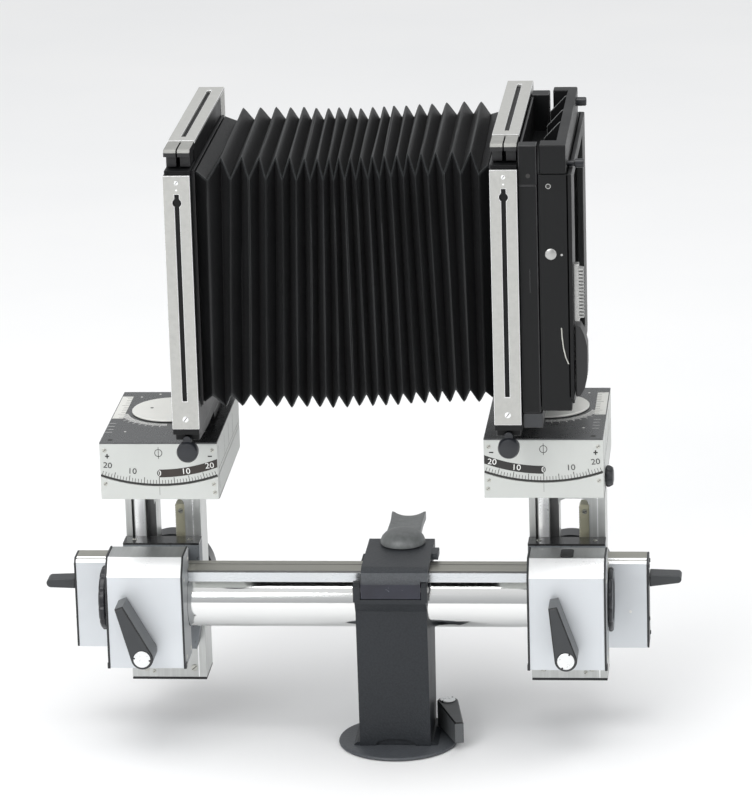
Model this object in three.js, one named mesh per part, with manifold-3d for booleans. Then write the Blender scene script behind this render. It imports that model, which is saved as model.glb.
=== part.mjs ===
// Monorail view camera on a short round rail: two geared standards, square
// format frames, pleated bellows, spring back, and a rail clamp on a disc foot.
// Millimetres, +Z up, X along the rail (+X towards the rear standard).
// Origin: centre of the foot disc's bottom face.
import * as THREE from 'three';
import { mergeVertices } from 'three/addons/utils/BufferGeometryUtils.js';
import Module from 'manifold-3d';

const wasm = await Module();
wasm.setup();

// ---------------------------------------------------------------- dimensions
const GAP = 0.35;              // clearance between neighbouring pieces
const FOOT_R = 36.3;
const FOOT_T = 2.6;
const RAIL_R = 17;             // rail tube outer radius
const RAIL_BORE = 14.4;
const RAIL_Z = 91.2;           // rail axis height
const RAIL_X0 = -173.5;
const RAIL_X1 = 128.4;
const RIB_HALF = 10.25;        // flat-topped rib on the rail
const RIB_TOP = 111.7;
const CAP_R = 19.4;
const FRAME = 168;             // square format frame, outside
const FRAME_T = 15.6;          // frame thickness along the rail
const FRAME_OPEN = 134;        // clear opening
const TILT_R = 105;            // tilt arc radius
const SWING_Y = 11.5;          // swing axis, towards the drive side of the block
const BLOCK_HALF = 34.8;       // tilt block half width
const BLOCK_Y0 = -52.8;
const BLOCK_Y1 = 52.1;
const HOUSE_HALF = 23.5;       // carriage housing half width
const COL_HALF = 23;           // column half width
const COL_Y0 = 36;
const COL_Y1 = 64;

// One entry per standard. xc housing centre, xk column centre, xb block centre,
// xf frame centre, dz height offset of everything above the column head.
const FRONT = { p: 'front', xc: -147.1, xk: -143.95, xb: -132.0, xf: -110.6, dz: -2.5,
  out: -1, boxOuter: -197.8, boxZ: 52.2, colBottom: 27.3, top: 170.0, leverDx: -12.7, leverDz: 31.4,
  pad: [24, 35, 88.5, 95, 89, 94.5, -215.9] };
const REAR = { p: 'rear', xc: 104.9, xk: 102.3, xb: 94.0, xf: 75.9, dz: 0,
  out: 1, boxOuter: 151.6, boxZ: 52.9, colBottom: 27.85, top: 171.2, leverDx: -7.2, leverDz: 32.5,
  pad: [24, 36.6, 90.8, 98.3, 93, 97.7, 171.2] };

// ------------------------------------------------------------------- helpers
function solid(geometry) {
  let g = geometry.clone();
  g.deleteAttribute('normal');
  g.deleteAttribute('uv');
  g = mergeVertices(g, 1e-4);
  const idx = g.index.array;
  const tri = [];
  for (let i = 0; i < idx.length; i += 3) {
    const [a, b, c] = [idx[i], idx[i + 1], idx[i + 2]];
    if (a !== b && b !== c && a !== c) tri.push(a, b, c);
  }
  return new wasm.Manifold(new wasm.Mesh({
    numProp: 3,
    vertProperties: new Float32Array(g.attributes.position.array),
    triVerts: new Uint32Array(tri),
  }));
}

function box(x0, x1, y0, y1, z0, z1) {
  const g = new THREE.BoxGeometry(x1 - x0, y1 - y0, z1 - z0);
  g.translate((x0 + x1) / 2, (y0 + y1) / 2, (z0 + z1) / 2);
  return solid(g);
}

// Cylinder along an axis, between a0 and a1, at (u, v) in the other two axes.
function cyl(axis, a0, a1, u, v, r, n = 32, r2 = r) {
  const g = new THREE.CylinderGeometry(r2, r, a1 - a0, n);
  const m = (a0 + a1) / 2;
  if (axis === 'z') { g.rotateX(Math.PI / 2); g.translate(u, v, m); }
  if (axis === 'y') { g.translate(u, m, v); }
  if (axis === 'x') { g.rotateZ(-Math.PI / 2); g.translate(m, u, v); }
  return solid(g);
}

// Prism: points are (y,z) for axis x, (x,z) for axis y, (x,y) for axis z.
function prism(axis, a0, a1, pts) {
  const s = new THREE.Shape(pts.map(([a, b]) => new THREE.Vector2(a, b)));
  const g = new THREE.ExtrudeGeometry(s, { depth: a1 - a0, bevelEnabled: false });
  if (axis === 'z') g.translate(0, 0, a0);
  if (axis === 'y') { g.rotateX(Math.PI / 2); g.translate(0, a1, 0); }
  if (axis === 'x') {
    g.applyMatrix4(new THREE.Matrix4().makeBasis(
      new THREE.Vector3(0, 1, 0), new THREE.Vector3(0, 0, 1), new THREE.Vector3(1, 0, 0)));
    g.translate(a0, 0, 0);
  }
  return solid(g);
}

// Turned piece: profile of (radius, height) turned about +Z through (x, y).
function turned(profile, n, x, y, z) {
  const g = new THREE.LatheGeometry(profile.map(([r, h]) => new THREE.Vector2(r, h)), n);
  g.rotateX(Math.PI / 2);
  g.translate(x, y, z);
  return solid(g);
}

function union(...list) { return list.reduce((a, b) => a.add(b)); }
function cut(a, ...list) { return list.reduce((m, b) => m.subtract(b), a); }

// Outline of a tapered lever: round hub at the origin, narrow square tip.
function leverOutline(hubR, tipHalf, dx, dy, n = 14) {
  const len = Math.hypot(dx, dy);
  const ang = Math.atan2(dy, dx);
  const open = Math.acos((hubR - tipHalf) / len);
  const pts = [];
  for (let i = 0; i <= n; i++) {
    const t = ang + open + (i / n) * (2 * Math.PI - 2 * open);
    pts.push([hubR * Math.cos(t), hubR * Math.sin(t)]);
  }
  const [c, s] = [Math.cos(ang), Math.sin(ang)];
  const e = len + 0.6;
  pts.push([e * c + tipHalf * s, e * s - tipHalf * c]);
  pts.push([e * c - tipHalf * s, e * s + tipHalf * c]);
  return pts;
}

// Scalloped knob along an axis.
function knob(axis, a0, a1, u, v, r, lobes) {
  const pts = [];
  const n = lobes * 4;
  for (let i = 0; i < n; i++) {
    const t = (i / n) * 2 * Math.PI;
    const rr = i % 4 === 0 ? r - r * 0.06 : r;
    const p = [rr * Math.cos(t), rr * Math.sin(t)];
    pts.push(axis === 'x' || axis === 'y' || axis === 'z' ? [u + p[0], v + p[1]] : p);
  }
  return prism(axis, a0, a1, pts);
}

const group = new THREE.Group();
function piece(name, m, color, roughness, metalness) {
  const out = m.getMesh();
  const g = new THREE.BufferGeometry();
  const n = out.numProp;
  const v = new Float32Array((out.vertProperties.length / n) * 3);
  for (let i = 0, k = 0; i < out.vertProperties.length; i += n, k += 3) {
    v[k] = out.vertProperties[i];
    v[k + 1] = out.vertProperties[i + 1];
    v[k + 2] = out.vertProperties[i + 2];
  }
  g.setAttribute('position', new THREE.BufferAttribute(v, 3));
  g.setIndex(new THREE.BufferAttribute(new Uint32Array(out.triVerts), 1));
  g.computeVertexNormals();
  const mesh = new THREE.Mesh(g, new THREE.MeshStandardMaterial({ color, roughness, metalness }));
  mesh.name = name;
  group.add(mesh);
}
const SILVER = [0xcfd0ca, 0.42, 0.75];
const BRIGHT = [0xe4e4e0, 0.15, 1.0];
const CRACKLE = [0x34383a, 0.7, 0.1];
const BLACK = [0x1b1c1e, 0.5, 0.1];
const LEVER = [0x2b2e30, 0.5, 0.05];
const GREY = [0x8b8d8c, 0.5, 0.6];
const BRASS = [0xcfc6a4, 0.5, 0.4];
const PALE = [0xe8e8e2, 0.6, 0.1];
const HIDE = [0x1d1f20, 0.75, 0.0];

// Clearance for the rail and its rib along an X span.
function railCut(x0, x1, c = 0.4) {
  return union(
    cyl('x', x0, x1, 0, RAIL_Z, RAIL_R + c, 40),
    box(x0, x1, -RIB_HALF - c, RIB_HALF + c, RAIL_Z, RIB_TOP + c));
}

// ------------------------------------------------------- foot, post and clamp
const POST_X0 = -22.1;
const POST_X1 = 20.7;
piece('foot_disc', turned([[0, 0], [35.2, 0], [FOOT_R, 0.8], [FOOT_R, FOOT_T - 0.7],
  [35.2, FOOT_T], [10, FOOT_T], [10, 13.5], [9.2, 14.2], [0, 14.2]], 48, 0, 0, 0), ...CRACKLE);

{
  const z0 = FOOT_T + 0.3;
  const outline = prism('x', POST_X0, POST_X1, [[-16.2, z0], [28.2, z0], [36, 98], [36, 107.4],
    [18.4, 107.4], [18.4, 98.7], [-21, 98.7]]);
  const flare = union(
    prism('y', -15, 27, [[-26, z0], [25, z0], [22, z0 + 1.8], [-24, z0 + 1.8]]));
  const ears = union(
    prism('x', -22.9, -18.7, [[-24.8, 97], [-15.6, 97], [-15.6, 106.6], [-18.4, 108.6], [-22.6, 108.6], [-24.8, 106.4]]),
    prism('x', 17.9, 21.4, [[-24.8, 97], [-15.6, 97], [-15.6, 106.6], [-18.4, 108.6], [-22.6, 108.6], [-24.8, 106.4]]),
    prism('x', -22.1, 20.7, [[-24.8, 98.7], [-24.8, 96], [-20.8, 90], [-19, 98.7]]));
  const lug = union(
    cyl('z', z0, 4.7, 28.7, 17.8, 6.4, 24),
    box(18, 29, 12, 24, z0, 4.7),
    cyl('z', z0, 19.2, 28.7, 17.8, 2.6, 16));
  const archCut = prism('y', -40, -14.6, [[-14, 0], [13, 0], [10.5, 5.2], [5, 7], [-6, 7], [-11.5, 5.2]]);
  piece('post_body', cut(union(outline, flare, ears, lug),
    cyl('z', 0, 14.9, 0, 0, 10.5, 32),
    railCut(-30, 30),
    cyl('z', 78, 120, 3, 28, 4.4, 20),
    box(-18.7, 17.9, -26, -15.5, 98.75, 110),
    cyl('x', -30, 30, -20.5, 103.6, 2.3, 16),
    archCut), ...CRACKLE);
}
piece('jaw_hinge_pin', cyl('x', -23.4, 22.0, -20.5, 103.6, 2.0, 16), ...GREY);

{
  const knuckle = prism('x', -18.3, 17.5, [[-24.6, 99.1], [-14.2, 99.1], [-14.2, 112], [-19, 113], [-24.6, 108.2]]);
  const strap = prism('x', -18.3, 21.7, [[-22.6, 109.1], [-10, 109.1], [-10, 112.3], [14, 112.3], [14, 107.9],
    [38, 107.9], [38, 116.5], [-15.5, 116.5], [-20.6, 114.2]]);
  const lug = box(21, 25.6, 10, 22, 112.3, 116.2);
  piece('rail_jaw', cut(union(knuckle, strap, lug),
    railCut(-30, 30),
    cyl('x', -30, 30, -20.5, 103.6, 2.35, 16),
    cyl('z', 100, 120, 3, 28, 5.2, 20)), ...CRACKLE);
}
piece('clamp_bolt', cyl('z', 80, 116.7, 3, 28, 3.9, 20), ...GREY);
{
  const dome = turned([[0, 0], [13.5, 0], [13.5, 2.2], [11.4, 5.6], [7.4, 7.9], [0, 8.9]], 28, 3, 28, 117.2);
  const arm = prism('z', 117.2, 123.6, [[-9.4, 30], [-8.2, 48], [-7.2, 70], [-5.6, 71.2], [-2, 68.6], [3, 67.6],
    [8, 68.6], [11.6, 71.2], [13.4, 70], [14.4, 48], [15.4, 30]]);
  piece('clamp_lever', union(dome, arm), ...CRACKLE);
}
{
  const pts = leverOutline(6.4, 2.65, 9.4, -34.1).map(([a, b]) => [a + 28.7, b + 17.8]);
  piece('pan_lock_lever', cut(union(prism('z', 5.05, 19.6, pts), cyl('z', 19.6, 21, 28.7, 17.8, 5.0, 20)),
    cyl('z', 4, 19.55, 28.7, 17.8, 2.95, 16)), ...LEVER);
}

// ---------------------------------------------------------------------- rail
piece('rail_tube', cut(cyl('x', RAIL_X0, RAIL_X1, 0, RAIL_Z, RAIL_R, 48),
  cyl('x', RAIL_X0 - 1, RAIL_X1 + 1, 0, RAIL_Z, RAIL_BORE, 32)), ...BRIGHT);
piece('rail_rib', cut(box(RAIL_X0, RAIL_X1, -RIB_HALF, RIB_HALF, 98, RIB_TOP),
  cyl('x', RAIL_X0 - 1, RAIL_X1 + 1, 0, RAIL_Z, RAIL_R + 0.25, 48)), ...GREY);
piece('rail_cap_front', union(knob('x', RAIL_X0 - 3.9, RAIL_X0 - 0.3, 0, RAIL_Z, CAP_R, 12),
  cyl('x', RAIL_X0 - 0.4, RAIL_X0 + 8, 0, RAIL_Z, RAIL_BORE - 0.3, 24)), ...BLACK);
piece('rail_cap_rear', union(knob('x', RAIL_X1 + 0.35, RAIL_X1 + 2.9, 0, RAIL_Z, CAP_R, 12),
  cyl('x', RAIL_X1 - 8, RAIL_X1 + 0.4, 0, RAIL_Z, RAIL_BORE - 0.3, 24)), ...BLACK);

// ----------------------------------------------------------------- standards
function standard(s) {
  const { p, xc, xk, xb, xf, dz } = s;
  // Front cover of the carriage: a sheet shell, open at the back.
  const cover = prism('x', xc - HOUSE_HALF, xc + HOUSE_HALF,
    [[-33.6, 58], [-5.2, 58], [-5.2, 125.4], [-25.2, 125.4], [-33.6, 115.4]]);
  const coverHollow = prism('x', xc - HOUSE_HALF + 2.6, xc + HOUSE_HALF - 2.6,
    [[-31.2, 60.4], [0, 60.4], [0, 123], [-26.2, 123], [-31.2, 116.4]]);
  piece(`${p}_housing`, cut(cover, coverHollow, railCut(xc - 40, xc + 40, 0.6)), ...SILVER);

  // Carriage body that rides the rail, with the tee rail that guides the column.
  const inner = prism('x', xc - HOUSE_HALF + 3, xc + HOUSE_HALF - 3,
    [[-30.8, 60.8], [-4, 60.8], [-4, 122.6], [-26.4, 122.6], [-30.8, 116.6]]);
  const rearBlock = prism('y', 22, COL_Y0 - GAP,
    [[xk - 23.3, 118.4], [xk - 23.3, 66], [xk - 15.3, 52], [xk + 19.5, 50.5], [xk + 23.3, 73], [xk + 23.3, 118.4]]);
  const saddle = prism('y', -4.8, 22.4,
    [[xc - 20, 115.2], [xc - 20, 64], [xc - 10, 54], [xc + 14, 54], [xc + 20, 66], [xc + 20, 115.2]]);
  const x0 = xk - COL_HALF;
  const finger = box(x0 + 12.75, x0 + 16.9, COL_Y0 - 1, 43.6, 66, 111);
  const pinX = x0 + 23.2;
  piece(`${p}_carriage`, cut(union(inner, saddle, rearBlock, finger), railCut(xc - 60, xc + 60),
    cyl('y', 16.5, COL_Y0 + 1, pinX, 84, 4.3, 20)), ...GREY);

  // Front clamp lever.
  const lev = leverOutline(6.7, 2.65, s.leverDx, s.leverDz).map(([a, b]) => [a + xc + 0.2, b + 70.9]);
  piece(`${p}_clamp_lever`, union(prism('y', -54, -36, lev), cyl('y', -36.4, -33.95, xc + 0.2, 70.9, 6.7, 24),
    cyl('y', -54.7, -53.5, xc + 0.2, 70.9, 5.4, 24)), ...LEVER);

  // Gear box beside the carriage, and the lock paddle on its outer face.
  const inX = s.out < 0 ? x0 - 0.6 : xk + COL_HALF + 0.6;
  const [bx0, bx1] = s.out < 0 ? [s.boxOuter, inX] : [inX, s.boxOuter];
  const bxm = s.out < 0 ? (s.boxOuter + -170.1) / 2 : (127.9 + s.boxOuter) / 2;
  const [py0, py1, pr0, pr1, pt0, pt1, tipX] = s.pad;
  const px = s.boxOuter + s.out * 0.35;
  const pz = (pr0 + pr1) / 2;
  const shX = [s.boxOuter - 8, s.boxOuter + 8];
  piece(`${p}_drive_box`, cut(box(bx0, bx1, 21, 38.5, s.boxZ, 108.8),
    cyl('y', 28, 50, bxm, 66, 2.5, 16),
    cyl('x', shX[0] - (s.out > 0 ? 1 : 0), shX[1] + (s.out < 0 ? 1 : 0), 30, pz, 2.5, 16)), ...SILVER);
  const tipC = (pt0 + pt1) / 2;
  const tipH = (pt1 - pt0) / 2;
  const paddle = [[px, pr0], [px, pr1]];
  for (let i = 0; i <= 10; i++) {
    const t = Math.PI / 2 - (i / 10) * Math.PI;
    paddle.push([tipX - s.out * tipH * (1 - Math.cos(t)), tipC + tipH * Math.sin(t)]);
  }
  if (s.out > 0) paddle.reverse();
  const sh = s.out < 0 ? [px - 1, s.boxOuter + 7] : [s.boxOuter - 7, px + 1];
  piece(`${p}_side_lever`, union(prism('y', py0, py1, paddle), cyl('x', sh[0], sh[1], 30, pz, 2.1, 16)), ...LEVER);
  piece(`${p}_focus_knob`, union(knob('y', 38.8, 50.5, bxm, 66, 10, 8), cyl('y', 29, 39.5, bxm, 66, 2.1, 16)), ...BLACK);

  // Column, with the window for the pinion shaft and the guide channel.
  const { top } = s;
  const cb = s.colBottom;
  let col = box(x0, x0 + 46, COL_Y0, COL_Y1, cb, top);
  col = union(col, prism('x', xk - 17, xk + 17, [[COL_Y0 + 1, 150 + dz], [COL_Y0 + 1, top], [-30, top], [-30, 166 + dz]]));
  const dove = prism('y', -29, 31.5, [[xk - 5, top - 1], [xk + 5, top - 1], [xk + 8, top + 3], [xk - 8, top + 3]]);
  col = union(col, dove);
  const w0 = x0 + 17.6;
  const w1 = x0 + 36.3;
  piece(`${p}_column`, cut(col,
    prism('y', COL_Y0 - 1, COL_Y1 + 1, [[w0, cb + 20], [w1, cb + 20], [w1, 138.3], [w1 - 1.3, 141.5], [w1 - 4.5, 142.8],
      [w0 + 4.5, 142.8], [w0 + 1.3, 141.5], [w0, 138.3]]),
    box(x0 + 3.9, x0 + 5.3, COL_Y0 - 1, COL_Y0 + 4, 40, 160 + dz),
    box(x0 + 12.4, w0 + 0.1, COL_Y0 - 1, COL_Y0 + 8, 40, 160 + dz)), ...SILVER);
  // Rack in the window, fine teeth towards the pinion.
  const rack = [];
  const rz0 = cb + 20.4;
  const rz1 = 138.0;
  const teeth = Math.floor((rz1 - rz0) / 1.55);
  rack.push([x0 + 36, rz1], [x0 + 36, rz0]);
  for (let i = 0; i < teeth; i++) {
    const z = rz0 + i * 1.55;
    rack.push([x0 + 31, z], [x0 + 31, z + 0.3], [x0 + 30, z + 0.65], [x0 + 30, z + 1.15]);
  }
  rack.push([x0 + 31, rz1]);
  rack.reverse();
  piece(`${p}_rack`, prism('y', COL_Y0 + 3, COL_Y0 + 13, rack), ...BRASS);
  piece(`${p}_column_foot`, box(x0, x0 + 46, COL_Y0, COL_Y1, cb - 1.6, cb - GAP), ...BLACK);
  // Rise knob: its shaft passes through the window behind the carriage.
  piece(`${p}_rise_knob`, union(cyl('y', COL_Y1 + 3, COL_Y1 + 19, pinX, 84, 25.3, 56),
    cyl('y', COL_Y1 + 0.4, COL_Y1 + 4, pinX, 84, 9, 20),
    cyl('y', 19, COL_Y1 + 1, pinX, 84, 3.9, 16),
    cyl('y', COL_Y0 + 1.5, COL_Y0 + 14, pinX, 84, 5.3, 24)), ...BLACK);

  // Shift base: lower half of the tilt block, slides across on the column head.
  const arc = (r, sgn) => {
    const pts = [];
    const a = Math.asin(BLOCK_HALF / r);
    for (let i = 0; i <= 20; i++) {
      const t = -a + (i / 20) * 2 * a;
      pts.push([xb + sgn * r * Math.sin(t), 286 + dz - r * Math.cos(t)]);
    }
    return pts;
  };
  const b0 = top + 0.4;
  const kz = top + 6.6;
  const basePts = [[xb - BLOCK_HALF, b0], [xb + BLOCK_HALF, b0], ...arc(TILT_R, 1).reverse()];
  piece(`${p}_shift_base`, cut(prism('y', BLOCK_Y0, BLOCK_Y1, basePts),
    prism('y', -49.9, 60, [[xk - 5.5, b0 - 1], [xk + 5.5, b0 - 1], [xk + 8.8, top + 3.4], [xk - 8.8, top + 3.4]]),
    cyl('y', 38, 60, xb - 22, kz, 2.5, 16), cyl('y', 38, 60, xb + 22, kz, 2.5, 16)), ...SILVER);
  piece(`${p}_shift_knob`, union(knob('y', BLOCK_Y1 + 0.4, BLOCK_Y1 + 11, xb - 22, kz, 6, 8),
    cyl('y', 40, BLOCK_Y1 + 1, xb - 22, kz, 2.1, 16)), ...BLACK);
  piece(`${p}_tilt_knob`, union(knob('y', BLOCK_Y1 + 0.4, BLOCK_Y1 + 13, xb + 22, kz, 6, 8),
    cyl('y', 40, BLOCK_Y1 + 1, xb + 22, kz, 2.1, 16)), ...BLACK);

  // Tilt block: upper half, turns about the Y axis through (xb, 286).
  const t1 = 207.8 + dz;
  const blockPts = [...arc(TILT_R - GAP, 1), [xb + BLOCK_HALF, t1], [xb - BLOCK_HALF, t1]];
  piece(`${p}_tilt_block`, cut(prism('y', BLOCK_Y0, BLOCK_Y1, blockPts),
    cyl('z', 195 + dz, t1 + 1, xb, SWING_Y, 8.4, 28),
    cyl('y', 38, 60, xb, 198 + dz, 2.6, 16)), ...SILVER);
  piece(`${p}_swing_knob`, union(knob('y', BLOCK_Y1 + 0.4, BLOCK_Y1 + 12, xb, 198 + dz, 7, 8),
    cyl('y', 40, BLOCK_Y1 + 1, xb, 198 + dz, 2.2, 16)), ...BLACK);

  // Swing table: pale pointer disc on a spigot, and the arm that carries the frame.
  const f0 = 222 + dz;
  const dir = Math.sign(xf - xb);
  const arm = [[xb + dir * 4, SWING_Y - 21], [xf + dir * 7, SWING_Y - 22], [xf + dir * 7, SWING_Y + 22],
    [xb + dir * 12, SWING_Y + 22], [xb + dir * 12, SWING_Y + 8]];
  if (dir < 0) arm.reverse();
  piece(`${p}_swing_table`, cut(union(
    cyl('z', 196 + dz, t1 + 1, xb, SWING_Y, 8, 28),
    cyl('z', t1 + 0.35, t1 + 1.6, xb, SWING_Y, 24, 40),
    prism('z', t1 + 1.5, t1 + 6.6, arm),
    box(xf - 7, xf + 7, -77.5, 77.5, t1 + 6.5, f0 - GAP)),
    cyl('y', -80, -64, xf, 218 + dz, 1.95, 14)), ...BLACK);

  // Square format frame with light-alloy side bars and a notched top corner.
  const f1 = f0 + FRAME;
  const h = FRAME / 2;
  const o = FRAME_OPEN / 2;
  const zc = (f0 + f1) / 2;
  const xf0 = xf - FRAME_T / 2;
  const xf1 = xf + FRAME_T / 2;
  let fr = cut(box(xf0, xf1, -h, h, f0, f1), box(xf0 - 1, xf1 + 1, -o, o, zc - o, zc + o));
  fr = cut(fr,
    box(xf0 - 1, xf1 + 1, -h - 1, -56, f1 - 12, f1 + 1),
    box(xf0 - 1, xf1 + 1, -h - 1, -79, f1 - 13.6, f1 + 1),
    box(xf - 1.35, xf + 1.35, -h - 1, -h + 4, f0 + 20, f1 - 28),
    cyl('y', -h - 1, -h + 4, xf, f1 - 30, 2.6, 16),
    box(xf - 1.35, xf + 1.35, -46, h - 9, f1 - 4, f1 + 1),
    cyl('y', -h - 1, -h + 9, xf, f0 + 3.4, 1.6, 12),
    box(xf0 - 1, xf0 + 3, -o - 4, o + 4, zc - o - 4, zc + o + 4),
    box(xf1 - 3, xf1 + 1, -o - 4, o + 4, zc - o - 4, zc + o + 4));
  piece(`${p}_frame`, fr, ...SILVER);
  // Two catches in the notch, one per side of the frame.
  for (const [nm, a, b] of [['catch_a', xf0 + 0.2, xf - 0.35], ['catch_b', xf + 0.35, xf1 - 0.2]]) {
    piece(`${p}_${nm}`, union(box(a, b, -78.4, -56.4, f1 - 4.6, f1 - 0.2),
      box(a + 1, b - 1, -72, -57, f1 - 11.6, f1 - 4)), ...BLACK);
  }
  // Frame lock knob under the near lower corner.
  piece(`${p}_lock_knob`, union(
    cyl('y', -84.4, -77.9, xf, 211 + dz, 6.25, 24),
    box(xf - 2.6, xf + 2.6, -82, -77.9, 211 + dz, 218 + dz),
    cyl('y', -82, -77.9, xf, 218 + dz, 2.6, 16),
    cyl('y', -78.4, -66, xf, 218 + dz, 1.6, 14)), ...BLACK);
}
standard(FRONT);
standard(REAR);

// Shift lock on the outer side of the rear block.
piece('rear_shift_lock', union(knob('x', REAR.xb + BLOCK_HALF + 0.35, REAR.xb + BLOCK_HALF + 5.1, -31, 178.2, 6.4, 8)), ...BLACK);

// ------------------------------------------------------------------- bellows
const BX0 = FRONT.xf + FRAME_T / 2;
const BX1 = REAR.xf - FRAME_T / 2;
function plate(name, x0, x1, zc) {
  piece(name, cut(box(x0, x1, -70, 70, zc - 70, zc + 70), box(x0 - 1, x1 + 1, -62, 62, zc - 62, zc + 62)), ...BLACK);
}
plate('bellows_frame_front', BX0 - 2.6, BX0 + 1.2, 303.5);
plate('bellows_frame_rear', BX1 - 1.2, BX1 + 2.6, 306);
{
  const tube = prism('x', BX0 + 1.6, BX1 - 1.6, [[-73.5, 231.2], [73.5, 231.2], [73.5, 378.2], [-73.5, 378.2]]);
  const hole = prism('x', BX0, BX1, [[-62, 243], [62, 243], [62, 366.5], [-62, 366.5]]);
  piece('bellows', cut(tube, hole), ...HIDE);
}

// ---------------------------------------------------------------- rear back
const K0 = REAR.xf + FRAME_T / 2;        // rear face of the rear frame
piece('back_adapter', cut(
  union(box(K0 + 0.35, K0 + 11, -80, 80, 231.5, 388), box(K0 + 1, K0 + 12, -80, 80, 222.6, 232)),
  box(K0 - 1, K0 + 13, -58, 58, 248, 364),
  box(K0 + 2, K0 + 13, -70, 55, 366, 389),
  box(K0 - 1, K0 + 13, 67, 81, 366, 389)), ...BLACK);
piece('back_body', cut(
  union(box(K0 + 12.4, K0 + 30.5, -79, 79, 232.4, 389),
    box(K0 + 11.4, K0 + 12.6, -79, -66, 232.4, 389), box(K0 + 11.4, K0 + 12.6, 66, 79, 232.4, 389)),
  box(K0 + 11, K0 + 31, -50, 50, 248, 364),
  box(K0 + 11, K0 + 24.6, -60, 60, 240, 372),
  box(K0 + 11, K0 + 21, -66, 62, 376, 390),
  box(K0 + 10, K0 + 31, 71.5, 80, 372, 390)), ...BLACK);
piece('ground_glass', box(K0 + 22, K0 + 24.2, -58, 58, 242, 370), 0xbfc6c2, 0.3, 0.0);
piece('back_slider', union(box(K0 + 31, K0 + 34, -74, -67, 284, 318), box(K0 + 33.5, K0 + 36.4, -73, -68, 287, 315)), ...GREY);
piece('back_latch', union(prism('y', -76, -62, [[K0 + 31, 240], [K0 + 34, 240], [K0 + 38, 252], [K0 + 38, 272], [K0 + 34, 284 - 1],
  [K0 + 31, 283]])), ...BLACK);

export default group;
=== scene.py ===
import math

import bmesh
import bpy
import numpy as np
from mathutils import Matrix, Vector
from mathutils.geometry import tessellate_polygon


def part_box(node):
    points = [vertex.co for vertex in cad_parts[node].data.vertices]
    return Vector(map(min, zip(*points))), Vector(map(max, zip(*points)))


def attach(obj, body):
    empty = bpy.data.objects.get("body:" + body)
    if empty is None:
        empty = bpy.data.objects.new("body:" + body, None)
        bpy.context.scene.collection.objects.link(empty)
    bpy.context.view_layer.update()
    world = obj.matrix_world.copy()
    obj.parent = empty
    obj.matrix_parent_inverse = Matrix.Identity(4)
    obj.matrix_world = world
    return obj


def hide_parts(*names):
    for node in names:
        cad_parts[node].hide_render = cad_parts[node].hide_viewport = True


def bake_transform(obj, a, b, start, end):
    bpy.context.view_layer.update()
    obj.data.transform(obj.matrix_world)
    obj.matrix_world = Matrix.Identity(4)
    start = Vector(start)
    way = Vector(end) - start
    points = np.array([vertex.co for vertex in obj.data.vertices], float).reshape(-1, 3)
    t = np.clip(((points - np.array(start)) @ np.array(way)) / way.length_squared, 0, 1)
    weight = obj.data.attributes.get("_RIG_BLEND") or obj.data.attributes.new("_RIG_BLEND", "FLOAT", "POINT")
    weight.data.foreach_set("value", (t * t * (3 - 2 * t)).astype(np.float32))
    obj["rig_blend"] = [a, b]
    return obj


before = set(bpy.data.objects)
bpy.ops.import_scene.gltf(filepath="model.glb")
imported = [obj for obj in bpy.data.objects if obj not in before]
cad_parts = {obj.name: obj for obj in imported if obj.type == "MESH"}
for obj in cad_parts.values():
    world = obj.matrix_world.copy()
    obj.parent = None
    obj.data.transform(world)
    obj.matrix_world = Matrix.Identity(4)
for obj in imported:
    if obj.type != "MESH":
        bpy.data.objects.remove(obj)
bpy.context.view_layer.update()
MM = 0.001
scene = bpy.context.scene


def bx(node):
    lo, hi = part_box(node)
    return tuple(c * 1000 for c in (*lo, *hi))


# ------------------------------------------------------------------ camera
cam_data = bpy.data.cameras.new("camera")
cam = bpy.data.objects.new("camera", cam_data)
scene.collection.objects.link(cam)
R_ = Vector((0.99550, 0.09063, -0.02742)).normalized()
F_ = Vector((-0.09468, 0.95421, -0.28375)).normalized()
U_ = R_.cross(F_).normalized()
R_ = F_.cross(U_).normalized()
rot = Matrix((R_, U_, -F_)).transposed()
cam.matrix_world = Matrix.Translation(Vector((251.82, -2619.71, 994.60)) * MM) @ rot.to_4x4()
cam_data.sensor_width = 36.0
cam_data.sensor_fit = "AUTO"
cam_data.lens = 208.11
cam_data.clip_start = 0.1
cam_data.clip_end = 60
scene.camera = cam
scene.view_settings.view_transform = "Standard"
scene.view_settings.look = "None"


# --------------------------------------------------------------- materials
def principled(name):
    m = bpy.data.materials.new(name)
    m.use_nodes = True
    nt = m.node_tree
    nt.nodes.clear()
    out = nt.nodes.new("ShaderNodeOutputMaterial")
    b = nt.nodes.new("ShaderNodeBsdfPrincipled")
    nt.links.new(b.outputs[0], out.inputs[0])
    return m, nt, b


def coords(nt, stretch=(1, 1, 1)):
    tc = nt.nodes.new("ShaderNodeTexCoord")
    mp = nt.nodes.new("ShaderNodeMapping")
    mp.inputs["Scale"].default_value = stretch
    nt.links.new(tc.outputs["Object"], mp.inputs["Vector"])
    return mp.outputs["Vector"]


def noise(nt, vec, scale, detail=3.0, rough=0.55):
    n = nt.nodes.new("ShaderNodeTexNoise")
    n.inputs["Scale"].default_value = scale
    n.inputs["Detail"].default_value = detail
    n.inputs["Roughness"].default_value = rough
    nt.links.new(vec, n.inputs["Vector"])
    return n.outputs["Fac"]


def maprange(nt, val, a, b, c, d, smooth=False):
    n = nt.nodes.new("ShaderNodeMapRange")
    n.inputs["From Min"].default_value = a
    n.inputs["From Max"].default_value = b
    n.inputs["To Min"].default_value = c
    n.inputs["To Max"].default_value = d
    if smooth:
        n.interpolation_type = "SMOOTHSTEP"
    nt.links.new(val, n.inputs["Value"])
    return n.outputs["Result"]


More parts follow.
